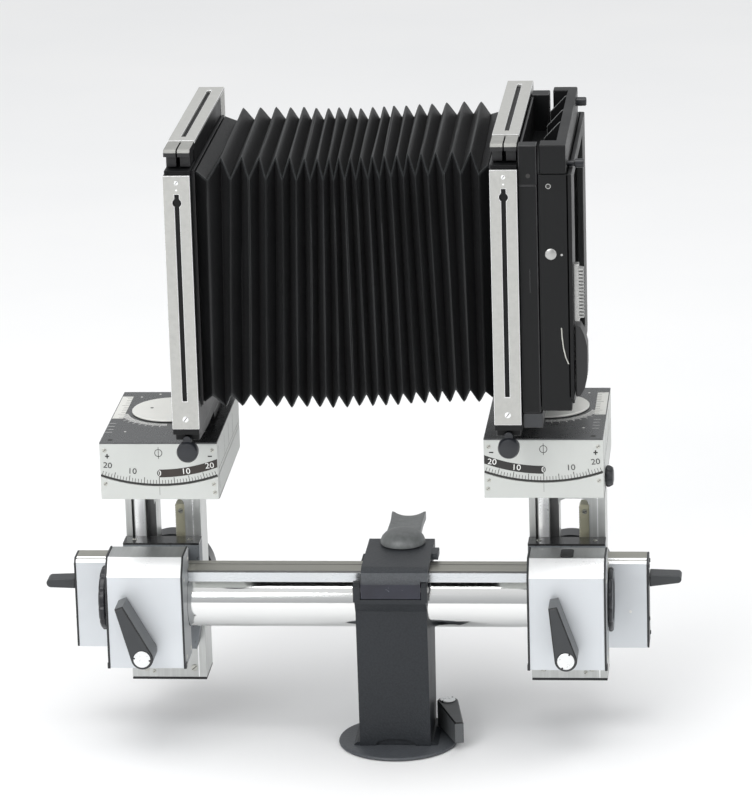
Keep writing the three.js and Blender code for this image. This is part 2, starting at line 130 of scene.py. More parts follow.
def mixcol(nt, fac, a, b):
    n = nt.nodes.new("ShaderNodeMix")
    n.data_type = "RGBA"
    for key, v in ((0, fac), (6, a), (7, b)):
        if hasattr(v, "links") or hasattr(v, "is_linked"):
            nt.links.new(v, n.inputs[key])
        elif key == 0:
            n.inputs[key].default_value = v
        else:
            n.inputs[key].default_value = (*v, 1.0)
    return n.outputs[2]


def mathn(nt, op, a, b):
    n = nt.nodes.new("ShaderNodeMath")
    n.operation = op
    for key, v in ((0, a), (1, b)):
        if hasattr(v, "is_linked"):
            nt.links.new(v, n.inputs[key])
        else:
            n.inputs[key].default_value = v
    return n.outputs[0]


def surf(name, col, rough, metal=0.0, var=0.06, vscale=40, rvar=0.06, grain=1400,
         bump=0.12, bdist=0.00008, stretch=(1, 1, 1), gstretch=(1, 1, 1), fleck=None,
         spec=0.5, coat=0.0, speck=None, streak=0.0):
    """A painted, moulded or metal surface: tonal drift, grain, uneven gloss and optional flecks."""
    m, nt, b = principled(name)
    v = coords(nt, stretch)
    g = coords(nt, gstretch)
    big = noise(nt, v, vscale, 4)
    lo = tuple(c * (1 - var) for c in col)
    hi = tuple(min(1, c * (1 + var)) for c in col)
    colour = mixcol(nt, maprange(nt, big, 0.3, 0.7, 0, 1), lo, hi)
    fine = noise(nt, g, grain, 3, 0.6)
    height = fine
    if streak:
        s = noise(nt, coords(nt, gstretch), grain * 0.35, 2)
        colour = mixcol(nt, maprange(nt, s, 0.35, 0.65, 0, streak), colour, tuple(c * 0.72 for c in col))
    if fleck:
        vo = nt.nodes.new("ShaderNodeTexVoronoi")
        vo.feature = "SMOOTH_F1"
        vo.inputs["Scale"].default_value = fleck
        vo.inputs["Smoothness"].default_value = 0.6
        nt.links.new(v, vo.inputs["Vector"])
        cell = maprange(nt, vo.outputs["Distance"], 0.1, 0.75, 1, 0)
        height = mathn(nt, "ADD", mathn(nt, "MULTIPLY", fine, 0.35), cell)
        colour = mixcol(nt, mathn(nt, "MULTIPLY", cell, 0.35), colour, tuple(min(1, c * 1.7 + 0.006) for c in col))
    if speck:
        sp = noise(nt, v, speck[0], 2)
        colour = mixcol(nt, maprange(nt, sp, speck[1], speck[1] + 0.03, 0, speck[2]), colour, speck[3])
    nt.links.new(colour, b.inputs["Base Color"])
    nt.links.new(maprange(nt, mathn(nt, "ADD", mathn(nt, "MULTIPLY", big, 0.6), mathn(nt, "MULTIPLY", fine, 0.4)),
                          0.3, 0.7, max(0.02, rough - rvar), min(1, rough + rvar)), b.inputs["Roughness"])
    bp = nt.nodes.new("ShaderNodeBump")
    bp.inputs["Strength"].default_value = bump
    bp.inputs["Distance"].default_value = bdist
    nt.links.new(height, bp.inputs["Height"])
    nt.links.new(bp.outputs["Normal"], b.inputs["Normal"])
    b.inputs["Metallic"].default_value = metal
    b.inputs["Specular IOR Level"].default_value = spec
    if coat:
        b.inputs["Coat Weight"].default_value = coat
        b.inputs["Coat Roughness"].default_value = 0.15
    return m


SATIN = surf("satin_alloy", (0.64, 0.665, 0.69), 0.42, 0.4, var=0.02, vscale=18, grain=2600, bump=0.10, bdist=0.00003, rvar=0.04)
# bright alloy for chamfers, sloped faces, the column rib and small screw heads: a painted highlight
ALLOY_HIGHLIGHT = surf("alloy_chamfer_painted_highlight", (0.88, 0.885, 0.89), 0.30, 0.6, var=0.02, vscale=20, grain=2600, bump=0.08, bdist=0.00003)
PLATE = surf("bead_blasted_alloy", (0.43, 0.43, 0.412), 0.5, 0.35, var=0.05, vscale=300, grain=1300, bump=0.5, bdist=0.00012, rvar=0.06,
             speck=(900, 0.62, 0.25, (0.34, 0.34, 0.32)))
PANEL = surf("scale_panel", (0.55, 0.565, 0.545), 0.45, 0.35, var=0.025, vscale=25, grain=2200, bump=0.12, bdist=0.00004)
COLUMN = surf("drawn_alloy", (0.56, 0.57, 0.56), 0.34, 0.8, var=0.08, vscale=30, grain=1600, bump=0.15, bdist=0.00004, gstretch=(1, 1, 0.03), streak=0.35)
MACHINED = surf("machined_alloy", (0.50, 0.51, 0.51), 0.38, 0.8, var=0.08, vscale=40, grain=1500, bump=0.15, bdist=0.00005, gstretch=(1, 0.05, 1), streak=0.2)
CHROME = surf("polished_rail", (0.80, 0.805, 0.80), 0.09, 1.0, var=0.02, vscale=15, grain=700, bump=0.0, bdist=0.00002, gstretch=(0.04, 1, 1), rvar=0.03)
RIBM = surf("rail_rib_alloy", (0.42, 0.41, 0.36), 0.34, 0.8, var=0.05, vscale=20, grain=900, bump=0.1, bdist=0.00004, gstretch=(0.03, 1, 1), streak=0.25)
STEEL = surf("dull_steel", (0.42, 0.42, 0.41), 0.35, 0.9, var=0.1, vscale=120, grain=1500, bump=0.15)
SCREWM = surf("screw_steel", (0.50, 0.50, 0.46), 0.3, 0.9, var=0.12, vscale=300, grain=1500, bump=0.2)
BRASS = surf("milled_brass", (0.56, 0.54, 0.40), 0.4, 0.55, var=0.08, vscale=80, grain=1500, bump=0.15)
CRACKLE = surf("crackle_paint", (0.054, 0.059, 0.066), 0.5, 0.0, var=0.10, vscale=30, grain=1700, bump=0.5, bdist=0.00016, fleck=900, rvar=0.08)
POSTP = surf("crackle_paint_post", (0.0165, 0.019, 0.0225), 0.5, 0.0, var=0.10, vscale=30, grain=1700, bump=0.5, bdist=0.00016, fleck=900, rvar=0.08, spec=0.35)
CLAMPHI = surf("crackle_paint_light", (0.215, 0.225, 0.225), 0.42, 0.1, var=0.15, vscale=300, grain=1700, bump=0.4, bdist=0.0001)
CRACKLE_HI = surf("crackle_paint_edge", (0.10, 0.105, 0.104), 0.42, 0.1, var=0.25, vscale=300, grain=1700, bump=0.4, bdist=0.0001)
KNUCKLE = surf("jaw_enamel", (0.014, 0.015, 0.026), 0.34, 0.0, var=0.3, vscale=90, grain=1300, bump=0.35, bdist=0.0001, speck=(330, 0.69, 0.6, (0.16, 0.17, 0.2)))
BLACKP = surf("black_moulding", (0.009, 0.009, 0.010), 0.4, 0.0, var=0.15, vscale=60, grain=1500, bump=0.3, bdist=0.00006)
KNOBM = surf("knob_moulding", (0.014, 0.0155, 0.019), 0.32, 0.0, var=0.15, vscale=60, grain=1200, bump=0.2, bdist=0.00005)
# lever paint, also used for the thin ring on the rise knob's front chamfer as a painted highlight
LEVER_PAINT_AND_RIM_HIGHLIGHT = surf("lever_satin_and_rim_highlight", (0.033, 0.036, 0.039), 0.42, 0.0, var=0.08, vscale=90, grain=1700, bump=0.45, bdist=0.0001)
# lighter copy of the lever paint for the lever flanks: a painted highlight
LEVER_FLANK_HIGHLIGHT = surf("lever_flank_painted_highlight", (0.085, 0.09, 0.094), 0.4, 0.0, var=0.08, vscale=90, grain=1700, bump=0.3, bdist=0.0001)
LEVEREDGE = surf("lever_edge", (0.008, 0.008, 0.009), 0.28, 0.0, var=0.2, vscale=90, grain=1500, bump=0.15)
BLACKCAST = surf("black_casting", (0.0045, 0.0048, 0.0052), 0.42, 0.0, var=0.12, vscale=50, grain=1500, bump=0.3, bdist=0.00006, spec=0.25)
BLACKA = surf("black_anodised", (0.0045, 0.0047, 0.0052), 0.45, 0.0, var=0.12, vscale=50, grain=1700, bump=0.25, bdist=0.00006, spec=0.25)
BLACKEDGE = surf("black_worn_edge", (0.022, 0.022, 0.023), 0.35, 0.2, var=0.5, vscale=160, grain=1700, bump=0.2)
GREYPL = surf("grey_top_plate", (0.085, 0.088, 0.090), 0.27, 0.3, var=0.06, vscale=40, grain=1500, bump=0.3, bdist=0.00006)
SIDEPL = surf("side_plate_black", (0.017, 0.018, 0.020), 0.42, 0.0, var=0.15, vscale=60, grain=1500, bump=0.25)
PALE = surf("pale_enamel", (0.84, 0.84, 0.80), 0.42, 0.1, var=0.03, vscale=60, grain=1300, bump=0.25, bdist=0.00006)
WHITEP = surf("white_filling", (0.82, 0.82, 0.80), 0.5, 0.0, var=0.04, vscale=200, grain=1500, bump=0.1)
# black for filled marks, and for screw slots, a hole and a gap as painted shade
BLACK_INK_AND_SHADE = surf("black_filling_and_painted_shade", (0.02, 0.019, 0.018), 0.5, 0.0, var=0.1, vscale=200, grain=1500, bump=0.1)
# grey for filled marks, and for screw slots as painted shade
GREY_INK_AND_SHADE = surf("grey_filling_and_painted_shade", (0.10, 0.10, 0.095), 0.5, 0.0, var=0.1, vscale=200, grain=1500, bump=0.1)
BANDM = surf("dark_scale_band", (0.028, 0.021, 0.017), 0.45, 0.0, var=0.15, vscale=150, grain=1500, bump=0.15)
GLASS = surf("ground_glass", (0.62, 0.66, 0.64), 0.55, 0.0, var=0.03, vscale=80, grain=2600, bump=0.4, bdist=0.00005)
# dark copy of the alloy for grooves and recesses: painted shade
RECESS_SHADE = surf("groove_alloy_painted_shade", (0.20, 0.20, 0.20), 0.4, 0.8, var=0.08, vscale=30, grain=1600, bump=0.15, bdist=0.00004, gstretch=(1, 1, 0.03), streak=0.3)
GLOSSBLK = surf("satin_black_plate", (0.016, 0.0165, 0.018), 0.22, 0.1, var=0.1, vscale=60, grain=1500, bump=0.15)
PLATEFACE = surf("cover_plate_face", (0.30, 0.315, 0.325), 0.42, 0.3, var=0.05, vscale=60, grain=1300, bump=0.3, bdist=0.00006)
CATCHTOP = surf("catch_top_grey", (0.27, 0.27, 0.255), 0.5, 0.2, var=0.1, vscale=200, grain=1300, bump=0.5, bdist=0.0001)
RIBEDGE = surf("rubbed_rib_edge", (0.16, 0.165, 0.165), 0.4, 0.2, var=0.2, vscale=200, grain=1500, bump=0.2)
GUSSET = surf("gusset_alloy", (0.20, 0.215, 0.23), 0.5, 0.3, var=0.08, vscale=60, grain=1300, bump=0.4, bdist=0.0001, speck=(700, 0.66, 0.8, (0.03, 0.03, 0.03)))
# lighter, bluer copy of the rib alloy for the rib sides: a painted reflection
RIB_SIDE_REFLECTION = surf("rib_side_painted_reflection", (0.62, 0.64, 0.66), 0.25, 0.9, var=0.03, vscale=20, grain=900, bump=0.05, bdist=0.00003, gstretch=(0.03, 1, 1))
CAPM = surf("lever_cap", (0.78, 0.79, 0.79), 0.3, 0.6, var=0.03, vscale=200, grain=1500, bump=0.2)


def bellows_material():
    m, nt, b = principled("bellows_cloth")
    v = coords(nt)
    big = noise(nt, v, 26, 4)
    colour = mixcol(nt, maprange(nt, big, 0.3, 0.7, 0, 1), (0.0035, 0.0035, 0.004), (0.0065, 0.0068, 0.0075))
    vo = nt.nodes.new("ShaderNodeTexVoronoi")
    vo.inputs["Scale"].default_value = 1500
    nt.links.new(v, vo.inputs["Vector"])
    fine = noise(nt, v, 900, 4, 0.65)
    height = mathn(nt, "ADD", mathn(nt, "MULTIPLY", vo.outputs["Distance"], 0.6), fine)
    # lighter cloth at the corner lines is rubbed wear; at the fold ridges it is rubbed wear and a painted highlight
    at = nt.nodes.new("ShaderNodeAttribute")
    at.attribute_name = "edge_wear_and_sheen"
    rub = noise(nt, v, 350, 3)
    wear_and_sheen = mathn(nt, "MULTIPLY", maprange(nt, at.outputs["Fac"], 0.25, 1.0, 0, 1, True), maprange(nt, rub, 0.25, 0.7, 0.55, 1.0))
    colour = mixcol(nt, wear_and_sheen, colour, (0.028, 0.030, 0.031))
    nt.links.new(colour, b.inputs["Base Color"])
    nt.links.new(mathn(nt, "SUBTRACT", maprange(nt, fine, 0.3, 0.7, 0.44, 0.56), mathn(nt, "MULTIPLY", wear_and_sheen, 0.08)), b.inputs["Roughness"])
    bp = nt.nodes.new("ShaderNodeBump")
    bp.inputs["Strength"].default_value = 0.35
    bp.inputs["Distance"].default_value = 0.00012
    nt.links.new(height, bp.inputs["Height"])
    nt.links.new(bp.outputs["Normal"], b.inputs["Normal"])
    b.inputs["Specular IOR Level"].default_value = 0.32
    b.inputs["Sheen Weight"].default_value = 0.02
    return m


HIDE = bellows_material()


# ------------------------------------------------------------- mesh helpers
def at(axis, a, u, v):
    if axis == "x":
        return Vector((a, u, v))
    if axis == "y":
        return Vector((u, a, v))
    return Vector((u, v, a))


def poly(bm, axis, a0, a1, outer, holes=(), mi=0, top_mi=None):
    """Straight prism with holes. Points are the two other axes in x, y, z order."""
    loops = [list(outer)] + [list(h) for h in holes]
    v0 = [[bm.verts.new(at(axis, a0, *p)) for p in lp] for lp in loops]
    v1 = [[bm.verts.new(at(axis, a1, *p)) for p in lp] for lp in loops]
    flat0 = [v for lp in v0 for v in lp]
    flat1 = [v for lp in v1 for v in lp]
    made = []
    if len(loops) == 1:
        for lst, mm in ((flat0, mi), (list(reversed(flat1)), mi if top_mi is None else top_mi)):
            try:
                f = bm.faces.new(lst)
                f.material_index = mm
                made.append(f)
            except ValueError:
                pass
    else:
        tris = tessellate_polygon([[Vector((p[0], p[1], 0)) for p in lp] for lp in loops])
        for t in tris:
            if len(set(t)) < 3:
                continue
            for src, mm in ((flat0, mi), (flat1, mi if top_mi is None else top_mi)):
                try:
                    f = bm.faces.new([src[i] for i in t])
                    f.material_index = mm
                    made.append(f)
                except ValueError:
                    pass
    for a, b in zip(v0, v1):
        n = len(a)
        for i in range(n):
            j = (i + 1) % n
            f = bm.faces.new((a[i], a[j], b[j], b[i]))
            f.material_index = mi
            made.append(f)
    return made


def box(bm, x0, x1, y0, y1, z0, z1, mi=0):
    return poly(bm, "z", z0, z1, [(x0, y0), (x1, y0), (x1, y1), (x0, y1)], mi=mi)


def lathe(bm, axis, u, v, prof, n=64, mi=0, lobes=None):
    """Turned form about an axis line through (u, v). prof is (radius, position along the axis)."""
    rings = []
    for r, a in prof:
        if r < 1e-6:
            rings.append([bm.verts.new(at(axis, a, u, v))])
        else:
            ring = []
            for i in range(n):
                t = 2 * math.pi * i / n
                k = 1.0 if lobes is None else lobes(t, r)
                ring.append(bm.verts.new(at(axis, a, u + r * k * math.cos(t), v + r * k * math.sin(t))))
            rings.append(ring)
    for p, q in zip(rings, rings[1:]):
        if len(p) == 1 and len(q) == 1:
            continue
        for i in range(n):
            j = (i + 1) % n
            if len(p) == 1:
                f = bm.faces.new((p[0], q[j], q[i]))
            elif len(q) == 1:
                f = bm.faces.new((p[i], p[j], q[0]))
            else:
                f = bm.faces.new((p[i], p[j], q[j], q[i]))
            f.material_index = mi


def circ(u, v, r, n=32, a0=0.0):
    return [(u + r * math.cos(a0 + 2 * math.pi * i / n), v + r * math.sin(a0 + 2 * math.pi * i / n)) for i in range(n)]


def rrect(u0, u1, v0, v1, r, n=4):
    pts = []
    for cu, cv, a in ((u1 - r, v1 - r, 0), (u0 + r, v1 - r, 90), (u0 + r, v0 + r, 180), (u1 - r, v0 + r, 270)):
        for i in range(n + 1):
            t = math.radians(a + 90 * i / n)
            pts.append((cu + r * math.cos(t), cv + r * math.sin(t)))
    return pts


MADE = []


def put(name, bm, mats, body, bevel=0.25, segs=2, angle=30, smooth=38, bevmat=-1, replaces=(), weld=True):
    """Turns a bmesh in millimetres into a finished piece that rides on a body."""
    if weld:
        bmesh.ops.remove_doubles(bm, verts=bm.verts, dist=0.002)
    bmesh.ops.recalc_face_normals(bm, faces=bm.faces)
    if bevel:
        edges = [e for e in bm.edges if len(e.link_faces) == 2 and e.calc_face_angle(0) > math.radians(angle)]
        if edges:
            bmesh.ops.bevel(bm, geom=edges, offset=bevel, offset_type="OFFSET", segments=segs, profile=0.5,
                            affect="EDGES", clamp_overlap=True, material=bevmat)
    bm.transform(Matrix.Scale(MM, 4))
    me = bpy.data.meshes.new(name)
    bm.to_mesh(me)
    bm.free()
    for p in me.polygons:
        p.use_smooth = True
    me.set_sharp_from_angle(angle=math.radians(smooth))
    for m in mats if isinstance(mats, (list, tuple)) else [mats]:
        me.materials.append(m)
    ob = bpy.data.objects.new(name, me)
    scene.collection.objects.link(ob)
    wn = ob.modifiers.new("wn", "WEIGHTED_NORMAL")
    wn.keep_sharp = True
    wn.weight = 60
    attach(ob, body)
    if replaces:
        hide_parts(*replaces)
    MADE.append(ob)
    return ob


def from_cad(node, body, mats, name=None, bevel=0.3, segs=2, pick=None, bevmat=-1, angle=30, smooth=38, dissolve=1.0):
    """A finer skin over a CAD node's own shape: welded, flat faces merged, edges broken."""
    bm = bmesh.new()
    bm.from_mesh(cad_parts[node].data)
    bm.transform(Matrix.Scale(1000, 4))
    bmesh.ops.remove_doubles(bm, verts=bm.verts, dist=0.004)
    bmesh.ops.recalc_face_normals(bm, faces=bm.faces)
    for f in bm.faces:
        f.material_index = 0
    if dissolve:
        bmesh.ops.dissolve_limit(bm, angle_limit=math.radians(dissolve), verts=bm.verts, edges=bm.edges)
    if pick:
        for f in bm.faces:
            f.material_index = pick(f.calc_center_median(), f.normal)
    return put(name or node + "_skin", bm, mats, body, bevel=bevel, segs=segs, bevmat=bevmat,
               angle=angle, smooth=smooth, replaces=(node,), weld=False)


def screw(bm, axis, a, u, v, r, sgn, h=0.5, mi=0, slot_shade_mi=None, rot=0.6):
    """Cheese-head screw, its head standing h proud at a, facing sgn along the axis; a given slot material draws the
    slot as a thin dark bar over the head, a painted shadow, not a cut.
    """
    n = 24
    top = a + sgn * h
    lathe(bm, axis, u, v, [(r, a - sgn * 0.05), (r, a + sgn * h * 0.6), (r * 0.86, top), (0, top)], n, mi)
    if slot_shade_mi is not None:
        # the slot is a dark bar standing just proud of the head: a painted shadow
        c, s = math.cos(rot), math.sin(rot)
        w = r * 0.14
        l = r * 0.84
        pts = [(u + c * l - s * w, v + s * l + c * w), (u - c * l - s * w, v - s * l + c * w),
               (u - c * l + s * w, v - s * l - c * w), (u + c * l + s * w, v + s * l - c * w)]
        lo, hi = sorted((top + sgn * 0.03, top - sgn * 0.2))
        poly(bm, axis, lo, hi, pts, mi=slot_shade_mi)


def text_faces(s, size):
    """Outline triangles of generic digits, centred, in millimetres."""
    cu = bpy.data.curves.new("digits", "FONT")
    cu.body = s
    cu.size = size
    cu.align_x = "CENTER"
    cu.align_y = "CENTER"
    cu.resolution_u = 4
    ob = bpy.data.objects.new("digits", cu)
    scene.collection.objects.link(ob)
    bpy.context.view_layer.update()
    me = bpy.data.meshes.new_from_object(ob.evaluated_get(bpy.context.evaluated_depsgraph_get()))
    vs = [v.co.copy() for v in me.vertices]
    fs = [tuple(p.vertices) for p in me.polygons]
    bpy.data.objects.remove(ob)
    bpy.data.curves.remove(cu)
    bpy.data.meshes.remove(me)
    return vs, fs


def add_text(bm, s, size, origin, ux, uy, depth=0.08, mi=0, rot=0.0, stretch=1.0, split=None):
    """Raised digits: origin and the two directions of the face they stand on."""
    vs, fs = text_faces(s, size)
    ux, uy = Vector(ux), Vector(uy)
    nn = ux.cross(uy)
    c, sn = math.cos(rot), math.sin(rot)
    base = bmesh.new()
    verts = []
    for p in vs:
        x, y = p.x * stretch, p.y
        x, y = x * c - y * sn, x * sn + y * c
        verts.append(base.verts.new(Vector(origin) + ux * x + uy * y))
    for f in fs:
        try:
            base.faces.new([verts[i] for i in f])
        except ValueError:
            pass
    bmesh.ops.remove_doubles(base, verts=base.verts, dist=0.001)
    if split:
        bmesh.ops.bisect_plane(base, geom=list(base.verts) + list(base.edges) + list(base.faces), plane_co=(split[0], 0, 0), plane_no=(1, 0, 0))
    out = bmesh.ops.extrude_face_region(base, geom=list(base.faces))
    bmesh.ops.translate(base, verts=[g for g in out["geom"] if isinstance(g, bmesh.types.BMVert)], vec=nn * depth)
    for f in base.faces:
        f.material_index = mi if not split else (split[1] if f.calc_center_median().x < split[0] else split[2])
    tmp = bpy.data.meshes.new("tmp")
    base.to_mesh(tmp)
    base.free()
    bm.from_mesh(tmp)
    bpy.data.meshes.remove(tmp)


# ------------------------------------------------------------------- levers
def lever_outline(hub, tip, dx, dy, n=22, end=0.6):
    ln = math.hypot(dx, dy)
    ang = math.atan2(dy, dx)
    opn = math.acos((hub - tip) / ln)
    pts = [(hub * math.cos(ang + opn + i / n * (2 * math.pi - 2 * opn)), hub * math.sin(ang + opn + i / n * (2 * math.pi - 2 * opn)))
           for i in range(n + 1)]
    c, s = math.cos(ang), math.sin(ang)
    e = ln + end
    pts.append((e * c + tip * s, e * s - tip * c))
    pts.append((e * c - tip * s, e * s + tip * c))
    return pts


def lever(name, body, axis, u, v, a_back, a_face, dx, dy, hub=6.7, tip=2.65, cap=5.25, replaces=(), slope=0.0, hubback=None, shaft=None, notch=0.2):
    """Tapered clamping lever with a broken black edge, a thin moulded face and a bright two-pin cap."""
    sgn = 1 if a_face > a_back else -1
    bm = bmesh.new()
    pts = [(p[0] + u, p[1] + v) for p in lever_outline(hub, tip, dx, dy)]
    ins = [(p[0] + u, p[1] + v) for p in lever_outline(hub - 0.75, tip - 0.7, dx, dy, end=-0.4)]
    n = len(pts)
    ln = math.hypot(dx, dy)

    def height(p, a):
        along = ((p[0] - u) * dx + (p[1] - v) * dy) / ln
        k = max(0.0, min(1.0, along / ln))
        return a - sgn * slope * k

    ring0 = [bm.verts.new(at(axis, a_back, *p)) for p in pts]
    ring1 = [bm.verts.new(at(axis, height(p, a_face - sgn * 0.7), *p)) for p in pts]
    ring2 = [bm.verts.new(at(axis, height(p, a_face), *p)) for p in ins]
    f = bm.faces.new(ring0)
    f.material_index = 0
    for i in range(n):
        j = (i + 1) % n
        # flank faces take material 4, the lighter copy of the lever paint: a painted highlight
        f = bm.faces.new((ring0[i], ring0[j], ring1[j], ring1[i]))
        f.material_index = 4
        f = bm.faces.new((ring1[i], ring1[j], ring2[j], ring2[i]))
        f.material_index = 1
    f = bm.faces.new(ring2)
    f.material_index = 0
    # bright cap in a black ring
    ca = a_face + sgn * 0.05
    lathe(bm, axis, u, v, [(0, a_face - sgn * 0.6), (cap + 0.35, a_face - sgn * 0.6), (cap + 0.35, ca + sgn * 0.02), (cap + 0.05, ca + sgn * 0.15), (0, ca + sgn * 0.15)], 40, 1)
    lathe(bm, axis, u, v, [(0, ca - sgn * 0.3), (cap - 0.15, ca - sgn * 0.3), (cap - 0.15, ca + sgn * 0.45), (cap - 0.5, ca + sgn * 0.6), (0, ca + sgn * 0.6)], 40, 2)
    for k in (0, 1):
        t = notch + math.pi * k
        lathe(bm, axis, u + (cap - 0.6) * math.cos(t), v + (cap - 0.6) * math.sin(t),
              [(0, ca), (0.62, ca), (0.62, ca + sgn * 0.68), (0, ca + sgn * 0.68)], 12, 1)
    if hubback is not None:
        lathe(bm, axis, u, v, [(0, a_back + sgn * 0.3), (hub - 0.4, a_back + sgn * 0.3), (hub - 0.4, hubback), (0, hubback)], 32, 1)
    if shaft is not None:
        lathe(bm, axis, u, v, [(0, (a_back if hubback is None else hubback)), (shaft[0], (a_back if hubback is None else hubback)), (shaft[0], shaft[1]), (0, shaft[1])], 20, 3)
    return put(name, bm, [LEVER_PAINT_AND_RIM_HIGHLIGHT, LEVEREDGE, CAPM, STEEL, LEVER_FLANK_HIGHLIGHT], body, bevel=0.22, segs=2, angle=24, smooth=30, replaces=replaces)


def scallop(n, depth, width=0.5):
    def k(t, r):
        x = (t * n / (2 * math.pi)) % 1.0
        d = abs(x - 0.5) * 2
        return 1.0 - depth / r * max(0.0, (d - (1 - width)) / width) ** 1.5
    return k


# =========================================================== foot and clamp
bm = bmesh.new()
lathe(bm, "z", 0, 0, [(0, 0), (34.6, 0), (36.0, 0.5), (36.3, 1.3), (35.9, 2.1), (34.8, 2.6), (22, 2.75), (10, 2.75), (10, 13.2), (9.2, 14.2), (0, 14.2)], 128)
put("foot_disc_skin", bm, [CRACKLE], "foot", bevel=0, replaces=("foot_disc",))

from_cad("post_body", "post", [POSTP, CRACKLE_HI], bevel=0.45, bevmat=-1)
from_cad("rail_jaw", "jaw", [CRACKLE, KNUCKLE], bevel=0.5,
         pick=lambda c, n: 1 if c.y < -13 and n.z < 0.35 else 0)
bm = bmesh.new()
lathe(bm, "x", -20.5, 103.6, [(0, -23.4), (1.7, -23.4), (2.0, -23.0), (2.0, 21.6), (1.7, 22.0), (0, 22.0)], 32)
put("jaw_hinge_pin_skin", bm, [STEEL], "post", bevel=0, replaces=("jaw_hinge_pin",))
bm = bmesh.new()
lathe(bm, "z", 3, 28, [(0, 80), (3.9, 80), (3.9, 116.3), (3.5, 116.7), (0, 116.7)], 40)
put("clamp_bolt_skin", bm, [STEEL], "clamp_stud", bevel=0, replaces=("clamp_bolt",))
# dome and flared handle of the rail clamp
bm = bmesh.new()
lathe(bm, "z", 3, 28, [(0, 117.2), (13.3, 117.2), (13.5, 117.6), (13.5, 119.3), (12.6, 121.4), (10.9, 123.3), (8.6, 124.8), (5.6, 125.8), (2.6, 126.1), (0, 126.1)], 72)
arm = []
for i in range(13):
    k = i / 12
    y = 24 + k * 46.0
    half = 9.6 + 2.4 * (1 - k) * math.sin(min(1, k * 1.4) * math.pi) * 0.4 + 0.9 * k ** 3
    mid = 3.0
    z0 = 117.3
    z1 = 123.5 - 0.6 * math.sin(k * math.pi)
    ring = []
    sec = 14
    for q in range(sec + 1):
        s = -1 + 2 * q / sec
        x = mid + half * s + (0.0 if i < 12 else 0)
        yy = y + (1.4 if i == 12 else 1.4 * k ** 8) * 0 + (abs(s) ** 2.2) * 3.3 * k ** 10
        ring.append((x, yy, z1 - (1 - abs(s) ** 2.6) * 2.6 * min(1, k * 1.6) * (0.55 + 0.45 * k) - max(0, abs(s) - 0.86) * 6))
    arm.append((ring, z0))
rows = []
for ring, z0 in arm:
    top = [bm.verts.new(p) for p in ring]
    bot = [bm.verts.new((p[0], p[1], z0)) for p in ring]
    rows.append((top, bot))
for (t0, b0), (t1, b1) in zip(rows, rows[1:]):
    m = len(t0)
    for q in range(m - 1):
        bm.faces.new((t0[q], t0[q + 1], t1[q + 1], t1[q]))
        bm.faces.new((b0[q], b1[q], b1[q + 1], b0[q + 1]))
    bm.faces.new((t0[0], t1[0], b1[0], b0[0]))
    bm.faces.new((t0[-1], b0[-1], b1[-1], t1[-1]))
for t, b in (rows[0], rows[-1]):
    m = len(t)
    for q in range(m - 1):
        bm.faces.new((t[q], t[q + 1], b[q + 1], b[q]))
put("clamp_lever_skin", bm, [CLAMPHI, CRACKLE], "rail_clamp_lever", bevel=0.35, angle=40, smooth=45, replaces=("clamp_lever",))
lever("pan_lock_lever_skin", "pan_lock", "z", 28.7, 17.8, 5.05, 19.9, 9.4, -34.1, hub=6.4, tip=2.65, cap=4.9, slope=1.8, replaces=("pan_lock_lever",), notch=0.9)

# ==================================================================== rail
x0, _, _, x1, _, _ = bx("rail_tube")
bm = bmesh.new()
zr = 91.2
lathe(bm, "x", 0, zr, [(14.4, x0), (16.7, x0), (17, x0 + 0.3), (17, x1 - 0.3), (16.7, x1), (14.4, x1), (14.4, x0)], 128)
put("rail_tube_skin", bm, [CHROME], "rail", bevel=0, smooth=40, replaces=("rail_tube",))
rx0, ry0, rz0, rx1, ry1, rz1 = bx("rail_rib")
bm = bmesh.new()
out = [(ry0, 104.9), (ry0, 110.7), (ry0 + 0.9, rz1), (-3.6, rz1), (-3.6, rz1 - 0.3), (3.6, rz1 - 0.3), (3.6, rz1), (ry1 - 0.9, rz1), (ry1, 110.7), (ry1, 104.9)]
arc = [(17.25 * math.sin(t), zr + 17.25 * math.cos(t)) for t in np.linspace(math.asin(ry1 / 17.25), math.asin(ry0 / 17.25), 15)]
poly(bm, "x", rx0, rx1, out + list(reversed(arc)))
bm.normal_update()
for f in bm.faces:
    n = f.normal
    if abs(n.x) < 0.3:
        # the rib's sides take the lighter copy: a painted reflection
        if abs(n.y) > 0.9 and abs(f.calc_center_median().y) > 9:
            f.material_index = 1
        # slot walls and top chamfers take the dark groove alloy: painted shade
        elif abs(n.y) > 0.4 and f.calc_center_median().z > 110:
            f.material_index = 2
put("rail_rib_skin", bm, [RIBM, RIB_SIDE_REFLECTION, RECESS_SHADE], "rail", bevel=0.1, replaces=("rail_rib",))
for nm, sgn in (("rail_cap_front", -1), ("rail_cap_rear", 1)):
    c = bx(nm)
    outer = c[0] if sgn < 0 else c[3]
    inner = x0 - 0.3 if sgn < 0 else x1 + 0.35
    bm = bmesh.new()
    lathe(bm, "x", 0, zr, [(0, inner - sgn * 7), (14, inner - sgn * 7), (14, inner), (19.0, inner), (19.4, inner + sgn * 0.5), (19.4, outer - sgn * 0.9), (18.5, outer), (13.2, outer), (12.6, outer - sgn * 0.6), (0, outer - sgn * 0.6)], 144, lobes=lambda t, r: scallop(12, 0.9, 0.4)(t, r) if r > 16 else 1.0)
    put(nm + "_skin", bm, [KNOBM], "rail", bevel=0, smooth=32, replaces=(nm,))


# =============================================================== standards
def arc_pts(xb, zc, r, half, n=28):
    a = math.asin(half / r)
    return [(xb + r * math.sin(-a + 2 * a * i / n), zc - r * math.cos(-a + 2 * a * i / n)) for i in range(n + 1)]


